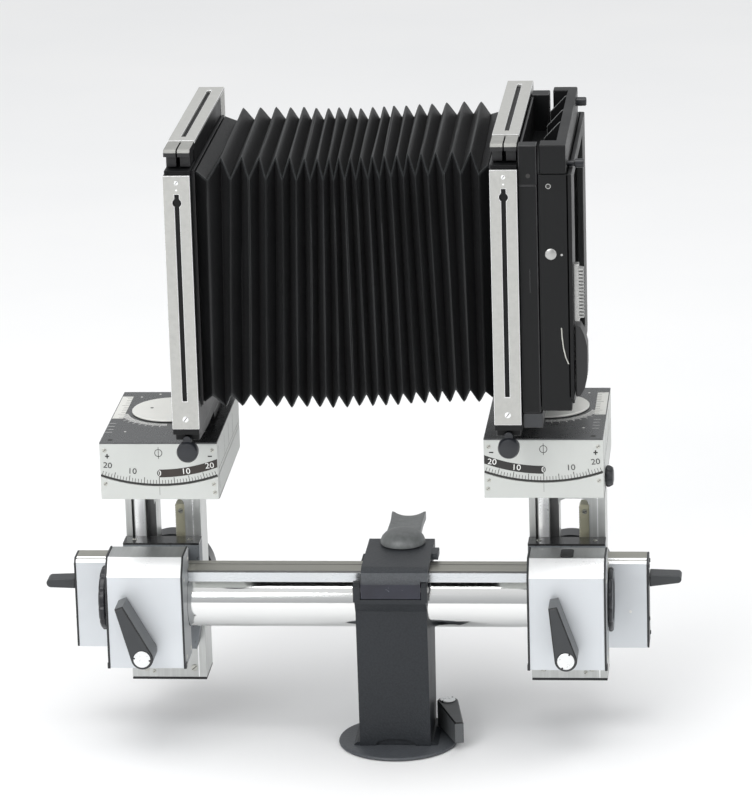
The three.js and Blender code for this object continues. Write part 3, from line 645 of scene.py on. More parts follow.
def standard(p, out, xc, xk, xb, xf, dz):
    car, colb, sh, ti, sw = (f"{p}_{n}" for n in ("carriage", "column", "shift", "tilt", "swing"))
    # -- housing between two thin black plates
    h = bx(f"{p}_housing")
    sec = [(-33.6, 58), (-5.2, 58), (-5.2, 125.4), (-25.2, 125.4), (-33.6, 115.4)]

    def notched(ins):
        """Side outline with the rail's bite on its back edge."""
        r = 17.65
        top = 112.35
        yb = -5.2
        a = math.asin(5.2 / r)
        pts = [(-33.6 + ins, 58 + ins), (yb, 58 + ins)]
        pts.append((yb, zr - r * math.cos(a)))
        tt = np.linspace(a, math.pi - math.asin(10.9 / r), 14)
        for t in tt:
            pts.append((-r * math.sin(t), zr - r * math.cos(t)))
        pts += [(-10.9, top), (yb, top), (yb, 125.4 - ins), (-25.2 + ins * 0.4, 125.4 - ins), (-33.6 + ins, 115.4 - ins * 0.4)]
        return pts
    bm = bmesh.new()
    body_pts = notched(0.0)
    poly(bm, "x", h[0] + 1.25, h[3] - 1.25, body_pts)
    for f in bm.faces:
        n = f.normal if f.normal.length else None
    bm.normal_update()
    for f in bm.faces:
        n = f.normal
        c = f.calc_center_median()
        # the sloped top-front face takes the bright alloy: a painted highlight
        if abs(n.x) < 0.1 and 0.5 < abs(n.y) < 0.9 and c.z > 114 and c.y < -20:
            f.material_index = 1
        if abs(n.z) > 0.95 and c.z > 120:
            f.material_index = 2
    put(f"{p}_housing_skin", bm, [SATIN, ALLOY_HIGHLIGHT, MACHINED], car, bevel=0.3, replaces=(f"{p}_housing",))
    for side, a0, a1 in (("outer" if out < 0 else "inner", h[0] + 0.05, h[0] + 1.25), ("inner" if out < 0 else "outer", h[3] - 1.25, h[3] - 0.05)):
        bm = bmesh.new()
        pts = notched(-0.0)
        pts = [(y - 0.35 if y < -30 else y, z) for y, z in pts]
        pts = [(y, z + (0.35 if z > 125 else 0)) for y, z in pts]
        poly(bm, "x", a0, a1, pts)
        s = -1 if a0 < xc else 1
        face = a0 if s < 0 else a1
        bm.normal_update()
        for f in bm.faces:
            if abs(f.normal.x) > 0.9 and abs(f.calc_center_median().x - face) < 0.02:
                f.material_index = 2
        poly(bm, "x", a0 - (0.4 if s < 0 else 0), a1 + (0.4 if s > 0 else 0), rrect(-34.0, -29.5, 57.6, 61.2, 0.5, 3))
        for (sy, sz) in ((-28, 63.5), (-28, 112), (-9.5, 119.5), (-9.5, 62.8)):
            screw(bm, "x", face, sy, sz, 1.5, s, 0.35, 1)
        put(f"{p}_{side}_cover_plate", bm, [SIDEPL, SCREWM, PLATEFACE], car, bevel=0.15)
    if out > 0:
        bm = bmesh.new()
        poly(bm, "z", 125.2, 126.3, rrect(xc - 3.9, xc + 3.9, -24.2, -10.6, 2.0, 6))
        put("rear_top_plug", bm, [BLACKP], car, bevel=0.3)

    # -- carriage body with gusseted shoulders
    from_cad(f"{p}_carriage", car, [MACHINED, GUSSET], bevel=0.2, dissolve=None, pick=lambda c, n: 1 if c.y > 15 else 0)
    bm = bmesh.new()
    poly(bm, "z", 117.3, 118.55, [(xk - 23.35, 21.9), (xk + 23.35, 21.9), (xk + 23.35, 35.7), (xk - 23.35, 35.7)])
    put(f"{p}_guide_plate", bm, [GREYPL if False else GLOSSBLK], car, bevel=0.15)
    bm = bmesh.new()
    for sx in (xk - 17, xk + 17):
        screw(bm, "z", 118.55, sx, 29, 1.5, 1, 0.4, 0, 1)
    put(f"{p}_guide_screws", bm, [SCREWM, BLACK_INK_AND_SHADE], car, bevel=0)

    # -- front clamp lever
    lev = (-12.7, 31.4) if out < 0 else (-7.2, 32.5)
    lever(f"{p}_clamp_lever_skin", f"{p}_rail_lock", "y", xc + 0.2, 70.9, -36, -54.05, lev[0], lev[1], replaces=(f"{p}_clamp_lever",), hubback=-33.95, notch=-0.15 if out < 0 else 1.1)

    # -- gear box with black outer plate
    d = bx(f"{p}_drive_box")
    o0, o1 = (d[0], d[0] + 1.2) if out < 0 else (d[3] - 1.2, d[3])
    i0, i1 = (o1, d[3]) if out < 0 else (d[0], o0)
    bm = bmesh.new()
    poly(bm, "x", i0, i1, [(21.0, d[2]), (38.5, d[2]), (38.5, 107.2), (37.4, 108.8), (25.2, 108.8), (24.2, 107.9), (22.6, 107.9), (21.0, 106.3)])
    bm.normal_update()
    for f in bm.faces:
        n = f.normal
        if n.z > 0.9:
            f.material_index = 1
        # sloped faces take the bright alloy: a painted highlight
        elif n.z > 0.4:
            f.material_index = 2
    put(f"{p}_drive_box_skin", bm, [SATIN, RIBM, ALLOY_HIGHLIGHT], car, bevel=0.25, replaces=(f"{p}_drive_box",))
    bm = bmesh.new()
    poly(bm, "x", o0, o1, [(20.8, d[2] + 0.2), (38.5, d[2] + 0.2), (38.5, 107.2), (37.4, 108.7), (23.8, 108.7), (20.8, 105.6)])
    face = o0 if out < 0 else o1
    for (sy, sz) in ((25, 104), (25, 70.3), (35.2, 104), (35.2, 58)):
        screw(bm, "x", face, sy, sz, 1.35, out, 0.6, 1)
    ob = put(f"{p}_drive_box_plate", bm, [SIDEPL, KNOBM], car, bevel=0.15)
    bm = bmesh.new()
    xd = d[0] + 19.0 if out < 0 else d[0] + 14.5
    screw(bm, "y", 21.0, xd, 76.0, 0.55 if out < 0 else 0.9, -1, 0.15, 0)
    put(f"{p}_drive_box_grub", bm, [KNOBM if out < 0 else WHITEP], car, bevel=0)
    bxm = (d[0] - 170.1) / 2 if out < 0 else (127.9 + d[3]) / 2
    q = bx(f"{p}_side_lever")
    py0, py1, pr0, pr1, pt0, pt1 = (24, 35, 88.5, 95, 89, 94.5) if out < 0 else (24, 36.6, 90.8, 98.3, 93, 97.7)
    tip = q[0] if out < 0 else q[3]
    root = (d[0] if out < 0 else d[3]) + out * 0.35
    th, tc2 = (pt1 - pt0) / 2, (pt0 + pt1) / 2
    bm = bmesh.new()
    pts = [(root, pr0), (root, pr1)]
    for i in range(17):
        t = math.pi / 2 - math.pi * i / 16
        pts.append((tip - out * th * (1 - math.cos(t)), tc2 + th * math.sin(t)))
    poly(bm, "y", py0, py1, pts)
    lathe(bm, "x", 30, (pr0 + pr1) / 2, [(0, root - out * 7), (2.1, root - out * 7), (2.1, root + out * 1), (0, root + out * 1)], 24, 1)
    put(f"{p}_side_lever_skin", bm, [LEVER_PAINT_AND_RIM_HIGHLIGHT, STEEL], f"{p}_rise_lock", bevel=0.7, segs=3, angle=40, replaces=(f"{p}_side_lever",), weld=False)
    bm = bmesh.new()
    lathe(bm, "y", bxm, 66, [(0, 38.8), (9.6, 38.8), (10, 39.3), (10, 49.3), (9.0, 50.5), (0, 50.5)], 96, lobes=lambda t, r: scallop(16, 0.7, 0.5)(t, r) if r > 8 else 1)
    lathe(bm, "y", bxm, 66, [(0, 29), (2.1, 29), (2.1, 39.5), (0, 39.5)], 20, 1)
    put(f"{p}_focus_knob_skin", bm, [KNOBM, STEEL], f"{p}_focus_drive", bevel=0, smooth=35, replaces=(f"{p}_focus_knob",))

    # -- column, foot plate, screws and rack
    cxl = xk - 23
    top = 170.0 if out < 0 else 171.2
    # faces inside the column recess take the dark groove alloy: painted shade
    from_cad(f"{p}_column", colb, [COLUMN, RECESS_SHADE], bevel=0.25, dissolve=None,
             pick=lambda c, n: 1 if 36.4 < c.y < 44.2 and cxl + 3.5 < c.x < cxl + 17.8 and c.z < 168 else 0)
    f = bx(f"{p}_column_foot")
    bm = bmesh.new()
    box(bm, f[0], f[3], f[1], f[4], f[2], f[5])
    put(f"{p}_column_foot_skin", bm, [SIDEPL], colb, bevel=0.2, replaces=(f"{p}_column_foot",))
    bm = bmesh.new()
    cx0, cz0 = f[0], f[5]
    for (dx, dzz, r) in (((9.0, 8.6, 2.1), (13.6, 6.2, 1.15), (38.5, 8.6, 2.1)) if out < 0 else ((7.2, 8.8, 2.1), (32.8, 6.2, 1.15), (36.6, 8.8, 2.1))):
        screw(bm, "y", 36.0, cx0 + dx, cz0 + dzz - 2.2, r, -1, 0.55, 0, 1, rot=0.7)
    put(f"{p}_column_screws", bm, [SCREWM, GREY_INK_AND_SHADE], colb, bevel=0)
    from_cad(f"{p}_rack", colb, [BRASS], bevel=0.06, angle=25, dissolve=None)
    # the rounded rib and the thin strip beside the window are drawn in the bright alloy: painted highlights
    bm = bmesh.new()
    rib = [(cxl + 5.5 + 6.7 * i / 10, 36.05 - 0.3 * math.sin(math.pi * i / 10)) for i in range(11)]
    poly(bm, "z", 40, 160 + dz, rib + [(cxl + 12.2, 36.3), (cxl + 5.5, 36.3)])
    poly(bm, "z", f[5] + 0.5, top - 0.5, [(cxl + 41.0, 35.85), (cxl + 41.7, 35.85), (cxl + 41.7, 36.2), (cxl + 41.0, 36.2)])
    put(f"{p}_column_rib", bm, [ALLOY_HIGHLIGHT], colb, bevel=0, smooth=60, weld=False)
    rk = bx(f"{p}_rack")
    bm = bmesh.new()
    screw(bm, "y", rk[1], rk[3] - 2.6, rk[5] - 4.4, 1.5, -1, 0.5, 0, 1, rot=0.3)
    put(f"{p}_rack_screw", bm, [SCREWM, BLACK_INK_AND_SHADE], colb, bevel=0)
    pin = xk + 0.2
    bm = bmesh.new()
    lathe(bm, "y", pin, 84, [(0, 66.6), (23.6, 66.6), (24.3, 66.8), (25.3, 67.8), (25.3, 81.4), (24.2, 82.8), (19.5, 83.0), (18.6, 82.2), (0, 82.2)], 160, 0)
    # thin lighter ring at the front chamfer: a painted highlight line
    lathe(bm, "y", pin, 84, [(23.7, 66.55), (24.35, 66.75), (24.55, 66.98), (24.3, 67.4), (23.7, 66.9), (23.7, 66.55)], 160, 2)
    lathe(bm, "y", pin, 84, [(0, 64.4), (9, 64.4), (9, 68), (0, 68)], 40, 0)
    lathe(bm, "y", pin, 84, [(0, 19), (3.9, 19), (3.9, 65), (0, 65)], 32, 1)
    lathe(bm, "y", pin, 84, [(0, 37.5), (5.3, 37.5), (5.3, 50), (0, 50)], 96, 1, lobes=lambda t, r: scallop(24, 0.6, 0.9)(t, r) if r > 4.5 else 1)
    put(f"{p}_rise_knob_skin", bm, [KNOBM, STEEL, LEVER_PAINT_AND_RIM_HIGHLIGHT], f"{p}_rise_drive", bevel=0, smooth=32, replaces=(f"{p}_rise_knob",))

    # -- shift base and tilt block
    b0 = top + 0.4
    kz = top + 6.6
    zc = 286 + dz
    Y0, Y1 = -52.8, 52.1
    hw = 34.8
    bm = bmesh.new()
    crown = list(reversed(arc_pts(xb, zc, 105, hw)))
    poly(bm, "y", Y0, -49.9, [(xb - hw, b0), (xb + hw, b0)] + crown)
    # dovetail channel along the bottom, closed at the front
    outl = [(xb - hw, b0), (xk - 5.5, b0), (xk - 8.8, top + 3.4), (xk + 8.8, top + 3.4), (xk + 5.5, b0), (xb + hw, b0)] + crown
    poly(bm, "y", -49.9, Y1, outl)
    put(f"{p}_shift_base_skin", bm, [PANEL], sh, bevel=0.3, replaces=(f"{p}_shift_base",))
    bm = bmesh.new()
    t1 = 207.8 + dz
    outl = arc_pts(xb, zc, 104.65, hw) + [(xb + hw, t1 - 0.9), (xb - hw, t1 - 0.9)]
    poly(bm, "y", Y0, Y1, outl)
    put(f"{p}_tilt_block_skin", bm, [PANEL], ti, bevel=0.25, replaces=(f"{p}_tilt_block",))
    bm = bmesh.new()
    poly(bm, "z", t1 - 0.9, t1, [(xb - hw, Y0), (xb + hw, Y0), (xb + hw, Y1), (xb - hw, Y1)])
    put(f"{p}_top_plate", bm, [GREYPL], ti, bevel=0.2)

    # -- scale on the front of the tilt block
    bm = bmesh.new()
    ux, uy = (1, 0, 0), (0, 0, 1)
    yf = Y0
    inn = -out  # towards the middle of the camera

    def pol(r, deg):
        t = math.radians(deg)
        return xb + r * math.sin(t), zc - r * math.cos(t)

    def strip(r0, r1, a0, a1, n, mi, d=0.06):
        pts = [pol(r0, a0 + (a1 - a0) * i / n) for i in range(n + 1)] + [pol(r1, a1 + (a0 - a1) * i / n) for i in range(n + 1)]
        poly(bm, "y", yf - d, yf + 0.05, pts, mi=mi)

    # dark strip along the arc of the gap between tilt block and shift base: a painted shadow in the gap
    strip(103.5, 104.62, -19.35, 19.35, 40, 0, 0.06)
    for i in range(-19, 20):
        long = i % 5 == 0
        t = math.radians(i)
        r0, r1 = (99.9 if long else 101.2), 103.6
        w = 0.15 if not long else 0.19
        pts = [(xb + r * math.sin(t) + s * w * math.cos(t), zc - r * math.cos(t) + s * w * math.sin(t)) for r, s in ((r0, -1), (r0, 1), (r1, 1), (r1, -1))]
        if i != 0:
            poly(bm, "y", yf - 0.05, yf + 0.05, pts, mi=0)
    e0, e1 = math.degrees(math.asin(34.6 / 94.75)), math.degrees(math.asin(34.6 / 99.55))
    pts = [pol(94.75, inn * e0 * i / 30) for i in range(31)] + [pol(99.55, inn * e1 * (1 - i / 30)) for i in range(31)]
    poly(bm, "y", yf - 0.05, yf + 0.05, pts, mi=2)
    box(bm, xb - 0.19, xb + 0.19, yf - 0.06, yf + 0.05, zc - 103.6, zc - 99.6, 0)
    for a, s, mi in ((inn * 9.4, "10", 3), (inn * 18.0, "20", 3), (-inn * 9.4, "10", 0), (-inn * 18.2, "20", 0)):
        x, z = pol(97.15, a)
        add_text(bm, s, 4.9, (x, yf - 0.04, z), ux, uy, 0.1, mi, rot=math.radians(a) * 0.3, stretch=1.12)
    add_text(bm, "0", 4.9, (xb, yf - 0.04, zc - 97.15), ux, uy, 0.1, 0, stretch=1.1, split=(xb, 3 if inn < 0 else 0, 3 if inn > 0 else 0))
    # index ring and signs
    zi = 201.4 + dz
    poly(bm, "y", yf - 0.06, yf + 0.05, circ(xb, zi, 2.35, 32), [list(reversed(circ(xb, zi, 1.95, 32)))], mi=0)
    box(bm, xb - 0.16, xb + 0.16, yf - 0.06, yf + 0.05, zi - 3.6, zi + 3.6, 0)
    for s, sx in (("+", -inn), ("-", inn)):
        cx = xb + sx * 30.4
        cz = 199.4 + dz
        box(bm, cx - 1.25, cx + 1.25, yf - 0.06, yf + 0.05, cz - 0.38, cz + 0.38, 0)
        if s == "+":
            box(bm, cx - 0.38, cx + 0.38, yf - 0.065, yf + 0.05, cz - 1.4, cz + 1.4, 0)
    put(f"{p}_tilt_scale", bm, [BLACK_INK_AND_SHADE, GREY_INK_AND_SHADE, BANDM if out < 0 else BLACK_INK_AND_SHADE, WHITEP], ti, bevel=0, smooth=20)
    bm = bmesh.new()
    for sx, zz in ((-31.9, 202.9), (31.9, 202.9)):
        screw(bm, "y", yf, xb + sx, zz + dz, 1.25, -1, 0.25, 0, 1)
    put(f"{p}_tilt_screws", bm, [SCREWM, GREY_INK_AND_SHADE], ti, bevel=0)
    bm = bmesh.new()
    for sx, zz in ((-32.0, 182.4), (32.2, 182.2), (32.6 * -out, 177.2)):
        screw(bm, "y", yf, xb + sx, zz + dz, 1.25, -1, 0.25, 0, 1)
    put(f"{p}_shift_screws", bm, [SCREWM, GREY_INK_AND_SHADE], sh, bevel=0)
    bm = bmesh.new()
    box(bm, xb - 0.1, xb + 0.1, yf - 0.05, yf + 0.05, 175.4 + dz, 180.7 + dz, 0)
    put(f"{p}_shift_index", bm, [GREY_INK_AND_SHADE], sh, bevel=0)

    # -- marks on the top plate
    bm = bmesh.new()
    cy = 11.5
    for i in range(-24, 25):
        a = math.radians(-90 + out * 38 + i * 1.0 * 1.6)
        r0, r1 = 26.4, (33.0 if i % 5 == 0 else 30.6)
        c, s = math.cos(a), math.sin(a)
        w = 0.2
        pts = [(xb + r * c - q * w * s, cy + r * s + q * w * c) for r, q in ((r0, -1), (r1, -1), (r1, 1), (r0, 1))]
        if all(abs(px - xb) < 33.6 and abs(py) < 51 for px, py in pts):
            poly(bm, "z", t1 - 0.04, t1 + 0.05, pts, mi=0)
    ox0, ox1 = (xb - hw + 0.6, xb - hw + 7.2) if out < 0 else (xb + hw - 7.2, xb + hw - 0.6)
    poly(bm, "z", t1 - 0.04, t1 + 0.07, [(ox0, -4), (ox1, -4), (ox1, 42), (ox0, 42)], mi=1)
    for i in range(0, 13):
        y = -2.5 + i * 3.6
        ln = 4.4 if i % 5 == 2 else 2.8
        a0 = ox0 if out > 0 else ox1 - ln
        poly(bm, "z", t1, t1 + 0.11, [(a0, y - 0.16), (a0 + ln, y - 0.16), (a0 + ln, y + 0.16), (a0, y + 0.16)], mi=2)
    for i in range(4):
        y = -14 - i * 6.0
        poly(bm, "z", t1 - 0.04, t1 + 0.05, [(ox0, y - 0.16), (ox0 + 4, y - 0.16), (ox0 + 4, y + 0.16), (ox0, y + 0.16)], mi=0)
    for (dx, y) in ((22.5, 41), (22.5, -31), (-24.5, 41), (-24.5, -31), (12, 47), (-12, 47)):
        lathe(bm, "z", xb + dx * out, y, [(0, t1 - 0.04), (0.75, t1 - 0.04), (0.75, t1 + 0.06), (0, t1 + 0.06)], 16, 1)
    lathe(bm, "z", xb + 29.0 * out, -47.5, [(0, t1 - 0.04), (1.5, t1 - 0.04), (1.5, t1 + 0.06), (0, t1 + 0.06)], 24, 2)
    put(f"{p}_swing_scale", bm, [WHITEP, PALE, BLACK_INK_AND_SHADE], ti, bevel=0)

    # -- engraved panel on the side of the block, towards the bellows
    bm = bmesh.new()
    for s in (-1, 1):
        xs = xb + s * hw
        a0, a1 = (xs - 0.05, xs + 0.05) if s > 0 else (xs - 0.05, xs + 0.05)
        for (ya, yb_, za, zb) in ((-46, -45.7, 178, 204), (-20, -19.7, 190, 204), (0, 0.3, 190, 204), (20, 20.3, 190, 204), (-46, 46, 190, 190.3)):
            box(bm, a0, a1, ya, yb_, za + dz, zb + dz, 0)
    put(f"{p}_side_lines", bm, [GREY_INK_AND_SHADE], ti, bevel=0)

    # -- drive knobs on the far side
    def small_knob(node, body, x, z, r, y0, y1, rs, lobes, ys):
        bm = bmesh.new()
        lathe(bm, "y", x, z, [(0, y0), (r - 0.4, y0), (r, y0 + 0.4), (r, y1 - 0.9), (r - 1.0, y1), (0, y1)], 96, 0, lobes=lambda t, rr: scallop(lobes, 0.6, 0.5)(t, rr) if rr > r - 0.6 else 1)
        lathe(bm, "y", x, z, [(0, ys), (rs, ys), (rs, y0 + 0.5), (0, y0 + 0.5)], 20, 1)
        put(node + "_skin", bm, [KNOBM, STEEL], body, bevel=0, smooth=34, replaces=(node,))
    small_knob(f"{p}_shift_knob", f"{p}_shift_drive", xb - 22, kz, 6, 52.5, 63, 2.1, 10, 40)
    small_knob(f"{p}_tilt_knob", f"{p}_tilt_drive", xb + 22, kz, 6, 52.5, 65, 2.1, 10, 40)
    small_knob(f"{p}_swing_knob", f"{p}_swing_drive", xb, 198 + dz, 7, 52.5, 64, 2.2, 12, 40)

    # -- swing table: pale pointer disc and the black arm that holds the frame
    bm = bmesh.new()
    lathe(bm, "z", xb, cy, [(0, 196 + dz), (8, 196 + dz), (8, t1 + 0.35), (23.7, t1 + 0.35), (24, t1 + 0.6), (24, t1 + 1.3), (23.7, t1 + 1.6), (0, t1 + 1.6)], 96, 0)
    lathe(bm, "z", xb + 12.4 * out, cy + 1.5, [(0, t1 + 1.5), (1.0, t1 + 1.5), (1.0, t1 + 1.68), (0, t1 + 1.68)], 16, 1)
    put(f"{p}_pointer_disc", bm, [PALE, BLACK_INK_AND_SHADE], sw, bevel=0, smooth=40)
    f0 = 222 + dz
    dr = 1 if xf > xb else -1
    ax0, ax1 = sorted((xb - dr * 8, xf + dr * 7))
    bm = bmesh.new()
    inner = xb - dr * 8
    outer = xf + dr * 7
    poly(bm, "z", t1 + 1.7, t1 + 6.6, [(xb + dr * 4, cy - 21), (outer, cy - 22), (outer, cy + 22), (xb + dr * 12, cy + 22), (xb + dr * 12, cy + 8)])
    put(f"{p}_holder_arm", bm, [BLACKA, BLACKEDGE], sw, bevel=0.5, bevmat=1)
    bm = bmesh.new()
    poly(bm, "x", xf - 7, xf + 7, [(-77.5, t1 + 9.2), (-40, t1 + 6.5), (77.5, t1 + 6.5), (77.5, f0 - 0.35), (-77.5, f0 - 0.35)])
    put(f"{p}_holder_bar", bm, [BLACKA, BLACKEDGE], sw, bevel=0.4, bevmat=1, replaces=(f"{p}_swing_table",))

    # -- square format frame: black core between light-alloy strips
    f1 = f0 + 168
    X0, X1 = xf - 7.8, xf + 7.8
    zc_ = (f0 + f1) / 2
    sq = lambda r: [(-r, zc_ - r), (r, zc_ - r), (r, zc_ + r), (-r, zc_ + r)]
    bm = bmesh.new()
    outer_pts = [(-82.3, f0 + 0.2), (82.3, f0 + 0.2), (82.3, f1 - 1.7), (-56, f1 - 1.7), (-56, f1 - 12.3), (-79, f1 - 12.3), (-79, f1 - 13.9), (-82.3, f1 - 13.9)]
    poly(bm, "x", X0 + 2.6, X1 - 2.6, outer_pts, [list(reversed(sq(67)))])
    poly(bm, "x", X0 + 0.35, X0 + 2.7, outer_pts, [list(reversed(sq(71)))])
    poly(bm, "x", X1 - 2.7, X1 - 0.35, outer_pts, [list(reversed(sq(71)))])
    put(f"{p}_frame_core", bm, [BLACKA, BLACKEDGE], sw, bevel=0.25, replaces=(f"{p}_frame",), weld=False)
    # near side strip, with its slot and keyhole
    bm = bmesh.new()
    zt = f1 - 14.1
    zb = f0 + 3.4
    key = []
    r = 2.6
    w = 1.35
    zk = f1 - 30
    a = math.asin(w / r)
    key.append((xf - w, f0 + 20))
    key.append((xf + w, f0 + 20))
    for t in np.linspace(-math.pi / 2 + a, math.pi / 2 - a, 14):
        key.append((xf + r * math.cos(t), zk + r * math.sin(t)))
    key.append((xf + w, zk + 5.0))
    key.append((xf - w, zk + 5.0))
    for t in np.linspace(math.pi / 2 + a, 3 * math.pi / 2 - a, 14):
        key.append((xf + r * math.cos(t), zk + r * math.sin(t)))
    poly(bm, "y", -84, -82.3, [(X0, zb), (X1, zb), (X1, zt), (X0, zt)], [list(reversed(key))])
    # chamfers of the strip take the bright alloy: a painted highlight
    put(f"{p}_frame_near_strip", bm, [PLATE, ALLOY_HIGHLIGHT], sw, bevel=0.28, bevmat=1)
    bm = bmesh.new()
    # screw heads and the small dot in the bright alloy: painted highlights
    for zz, rr in ((f0 + 9.4, 1.75), (f1 - 18.2, 1.25)):
        screw(bm, "y", -84.0, xf, zz, rr, -1, 0.18, 0, 1, rot=0.9)
    lathe(bm, "y", xf, f1 - 22.4, [(0, -83.95), (0.55, -83.95), (0.55, -84.05), (0, -84.05)], 12, 0)
    put(f"{p}_frame_near_screws", bm, [ALLOY_HIGHLIGHT, GREY_INK_AND_SHADE], sw, bevel=0)
    bm = bmesh.new()
    box(bm, X0 + 0.2, X1 - 0.2, -83.9, -81.6, f0 + 0.1, f0 + 3.2)
    put(f"{p}_frame_near_shoe", bm, [BLACKA], sw, bevel=0.3)
    # top strip, with its slot, and the far strip
    bm = bmesh.new()
    slot = rrect(xf - 1.35, xf + 1.35, -46, 75, 0.3, 2)
    poly(bm, "z", f1 - 1.7, f1, [(X0, -56), (X1, -56), (X1, 84), (X0, 84)], [list(reversed(slot))])
    # chamfers take the bright alloy: a painted highlight
    put(f"{p}_frame_top_strip", bm, [PLATE, ALLOY_HIGHLIGHT], sw, bevel=0.28, bevmat=1)
    bm = bmesh.new()
    slot = rrect(xf - 1.35, xf + 1.35, f0 + 20, f1 - 20, 0.3, 2)
    poly(bm, "y", 82.3, 84, [(X0, f0), (X1, f0), (X1, f1 - 1.75), (X0, f1 - 1.75)], [list(reversed(slot))])
    box(bm, X0 + 0.05, X0 + 0.4, 66, 82.35, f1 - 18, f1 - 1.75)
    box(bm, X1 - 0.4, X1 - 0.05, 66, 82.35, f1 - 18, f1 - 1.75)
    # chamfers take the bright alloy: a painted highlight
    put(f"{p}_frame_far_strip", bm, [PLATE, ALLOY_HIGHLIGHT], sw, bevel=0.2, bevmat=1)
    for nm in ("catch_a", "catch_b"):
        c = bx(f"{p}_{nm}")
        a, b = c[0], c[3]
        bm = bmesh.new()
        poly(bm, "x", a, b, [(-78.4, f1 - 4.4), (-56.6, f1 - 4.4), (-56.6, f1 - 0.9), (-57.4, f1 - 0.2), (-77.2, f1 - 0.2), (-78.4, f1 - 2.0)])
        poly(bm, "x", a + 0.7, b - 0.7, [(-72, f1 - 11.6), (-57, f1 - 11.6), (-57, f1 - 4.2), (-72, f1 - 4.2)])
        bm.normal_update()
        for f in bm.faces:
            if f.calc_center_median().z > f1 - 1.6 and abs(f.normal.z) > 0.3:
                f.material_index = 2
        put(f"{p}_{nm}_skin", bm, [BLACKP, BLACKEDGE, CATCHTOP], f"{p}_{nm}", bevel=0.3, replaces=(f"{p}_{nm}",), bevmat=-1)
    bm = bmesh.new()
    lathe(bm, "y", xf, 211 + dz, [(0, -77.9), (5.7, -77.9), (6.25, -78.5), (6.25, -82.6), (5.4, -83.9), (3.6, -84.4), (0, -84.4)], 56, 0)
    poly(bm, "y", -82.2, -78.0, [(xf - 2.9, 213 + dz), (xf + 2.9, 213 + dz), (xf + 2.2, 218.2 + dz), (xf - 2.2, 218.2 + dz)], mi=0)
    lathe(bm, "y", xf, 218 + dz, [(0, -66), (1.6, -66), (1.6, -78.2), (2.5, -78.2), (2.5, -82), (0, -82)], 24, 0)
    put(f"{p}_lock_knob_skin", bm, [KNOBM], f"{p}_frame_lock", bevel=0.2, angle=50, smooth=40, replaces=(f"{p}_lock_knob",))
    # flange that the bellows is clamped to
    q = bx(f"bellows_frame_{p}")
    zm = (q[2] + q[5]) / 2
    bm = bmesh.new()
    poly(bm, "x", q[0], q[3], [(-70, zm - 70), (70, zm - 70), (70, zm + 70), (-70, zm + 70)], [[(-62, zm - 62), (-62, zm + 62), (62, zm + 62), (62, zm - 62)]])
    put(f"bellows_frame_{p}_skin", bm, [BLACKP], sw, bevel=0.4, replaces=(f"bellows_frame_{p}",))


standard("front", -1, -147.1, -143.95, -132.0, -110.6, -2.5)
standard("rear", 1, 104.9, 102.3, 94.0, 75.9, 0.0)

c = bx("rear_shift_lock")
bm = bmesh.new()
lathe(bm, "x", (c[1] + c[4]) / 2, (c[2] + c[5]) / 2, [(0, c[0]), (5.6, c[0]), (6.4, c[0] + 0.9), (6.4, c[3] - 2.6), (5.2, c[3] - 0.5), (3.0, c[3]), (0, c[3])], 72, 0, lobes=lambda t, r: scallop(8, 0.7, 0.5)(t, r) if r > 6 else 1)
put("rear_shift_lock_skin", bm, [KNOBM], "rear_shift", bevel=0, smooth=38, replaces=("rear_shift_lock",))


# ================================================================= bellows
def tables():
    T_nt = [-86.9, -75.2, -64.9, -55.4, -47.1, -39.1, -31.6, -24.9, -19.0, -12.7, -6.4, 0.2, 6.8, 13.5, 20.6, 28.0, 36.4, 46.1, 56.3]
    T_ft = [-89.1, -78.4, -68.7, -60.6, -52.8, -45.2, -38.0, -31.5, -24.7, -18.2, -11.4, -4.6, 1.8, 8.8, 16.5, 24.5, 33.4, 43.2, 53.4]
    T_nb = [-89.5, -79.3, -69.5, -59.7, -50.8, -42.3, -34.3, -26.8, -18.9, -11.2, -3.7, 3.8, 11.4, 18.7, 26.4, 33.8, 41.2, 49.3, 58.0]
    T_fb = [b + (f - n) * 0.5 for b, f, n in zip(T_nb, T_ft, T_nt)]
    S_nt = [-94.3, -80.8, -69.8, -60.0, -51.0, -43.0, -35.0, -27.6, -21.4, -15.2, -8.7, -1.9, 4.7, 11.6, 18.3, 25.4, 32.8, 41.5, 51.3, 61.9]
    S_nb = [-95.6, -84.5, -73.5, -63.5, -54.1, -45.9, -37.5, -29.6, -22.2, -14.1, -6.7, 0.6, 7.9, 15.2, 22.5, 30.1, 37.7, 45.4, 53.9, 62.7]

    def mids(t, a, b):
        e = [a] + t + [b]
        return [(p + q) / 2 for p, q in zip(e, e[1:])]
    S_ft = mids(T_ft, -98.5, 63.0)
    S_fb = mids(T_fb, -99.0, 64.0)
    rows = []  # each: kind, x at (near-top, far-top, far-bottom, near-bottom)
    rows.append(("F", (-101.2,) * 4))
    for i in range(20):
        rows.append(("S", (S_nt[i], S_ft[i], S_fb[i], S_nb[i])))
        if i < 19:
            rows.append(("T", (T_nt[i], T_ft[i], T_fb[i], T_nb[i])))
    rows.append(("F", (66.5,) * 4))
    return rows


ROWS = tables()
NR = len(ROWS)


def zmid(x):
    xs = [-101.2, -90, -75, -60, -34, -19, 0, 20, 46, 58, 66.5]
    zs = [303.9, 304.8, 305.3, 304.9, 304.4, 304.5, 305.3, 306.5, 307.9, 307.6, 306.4]
    return float(np.interp(x, xs, zs))


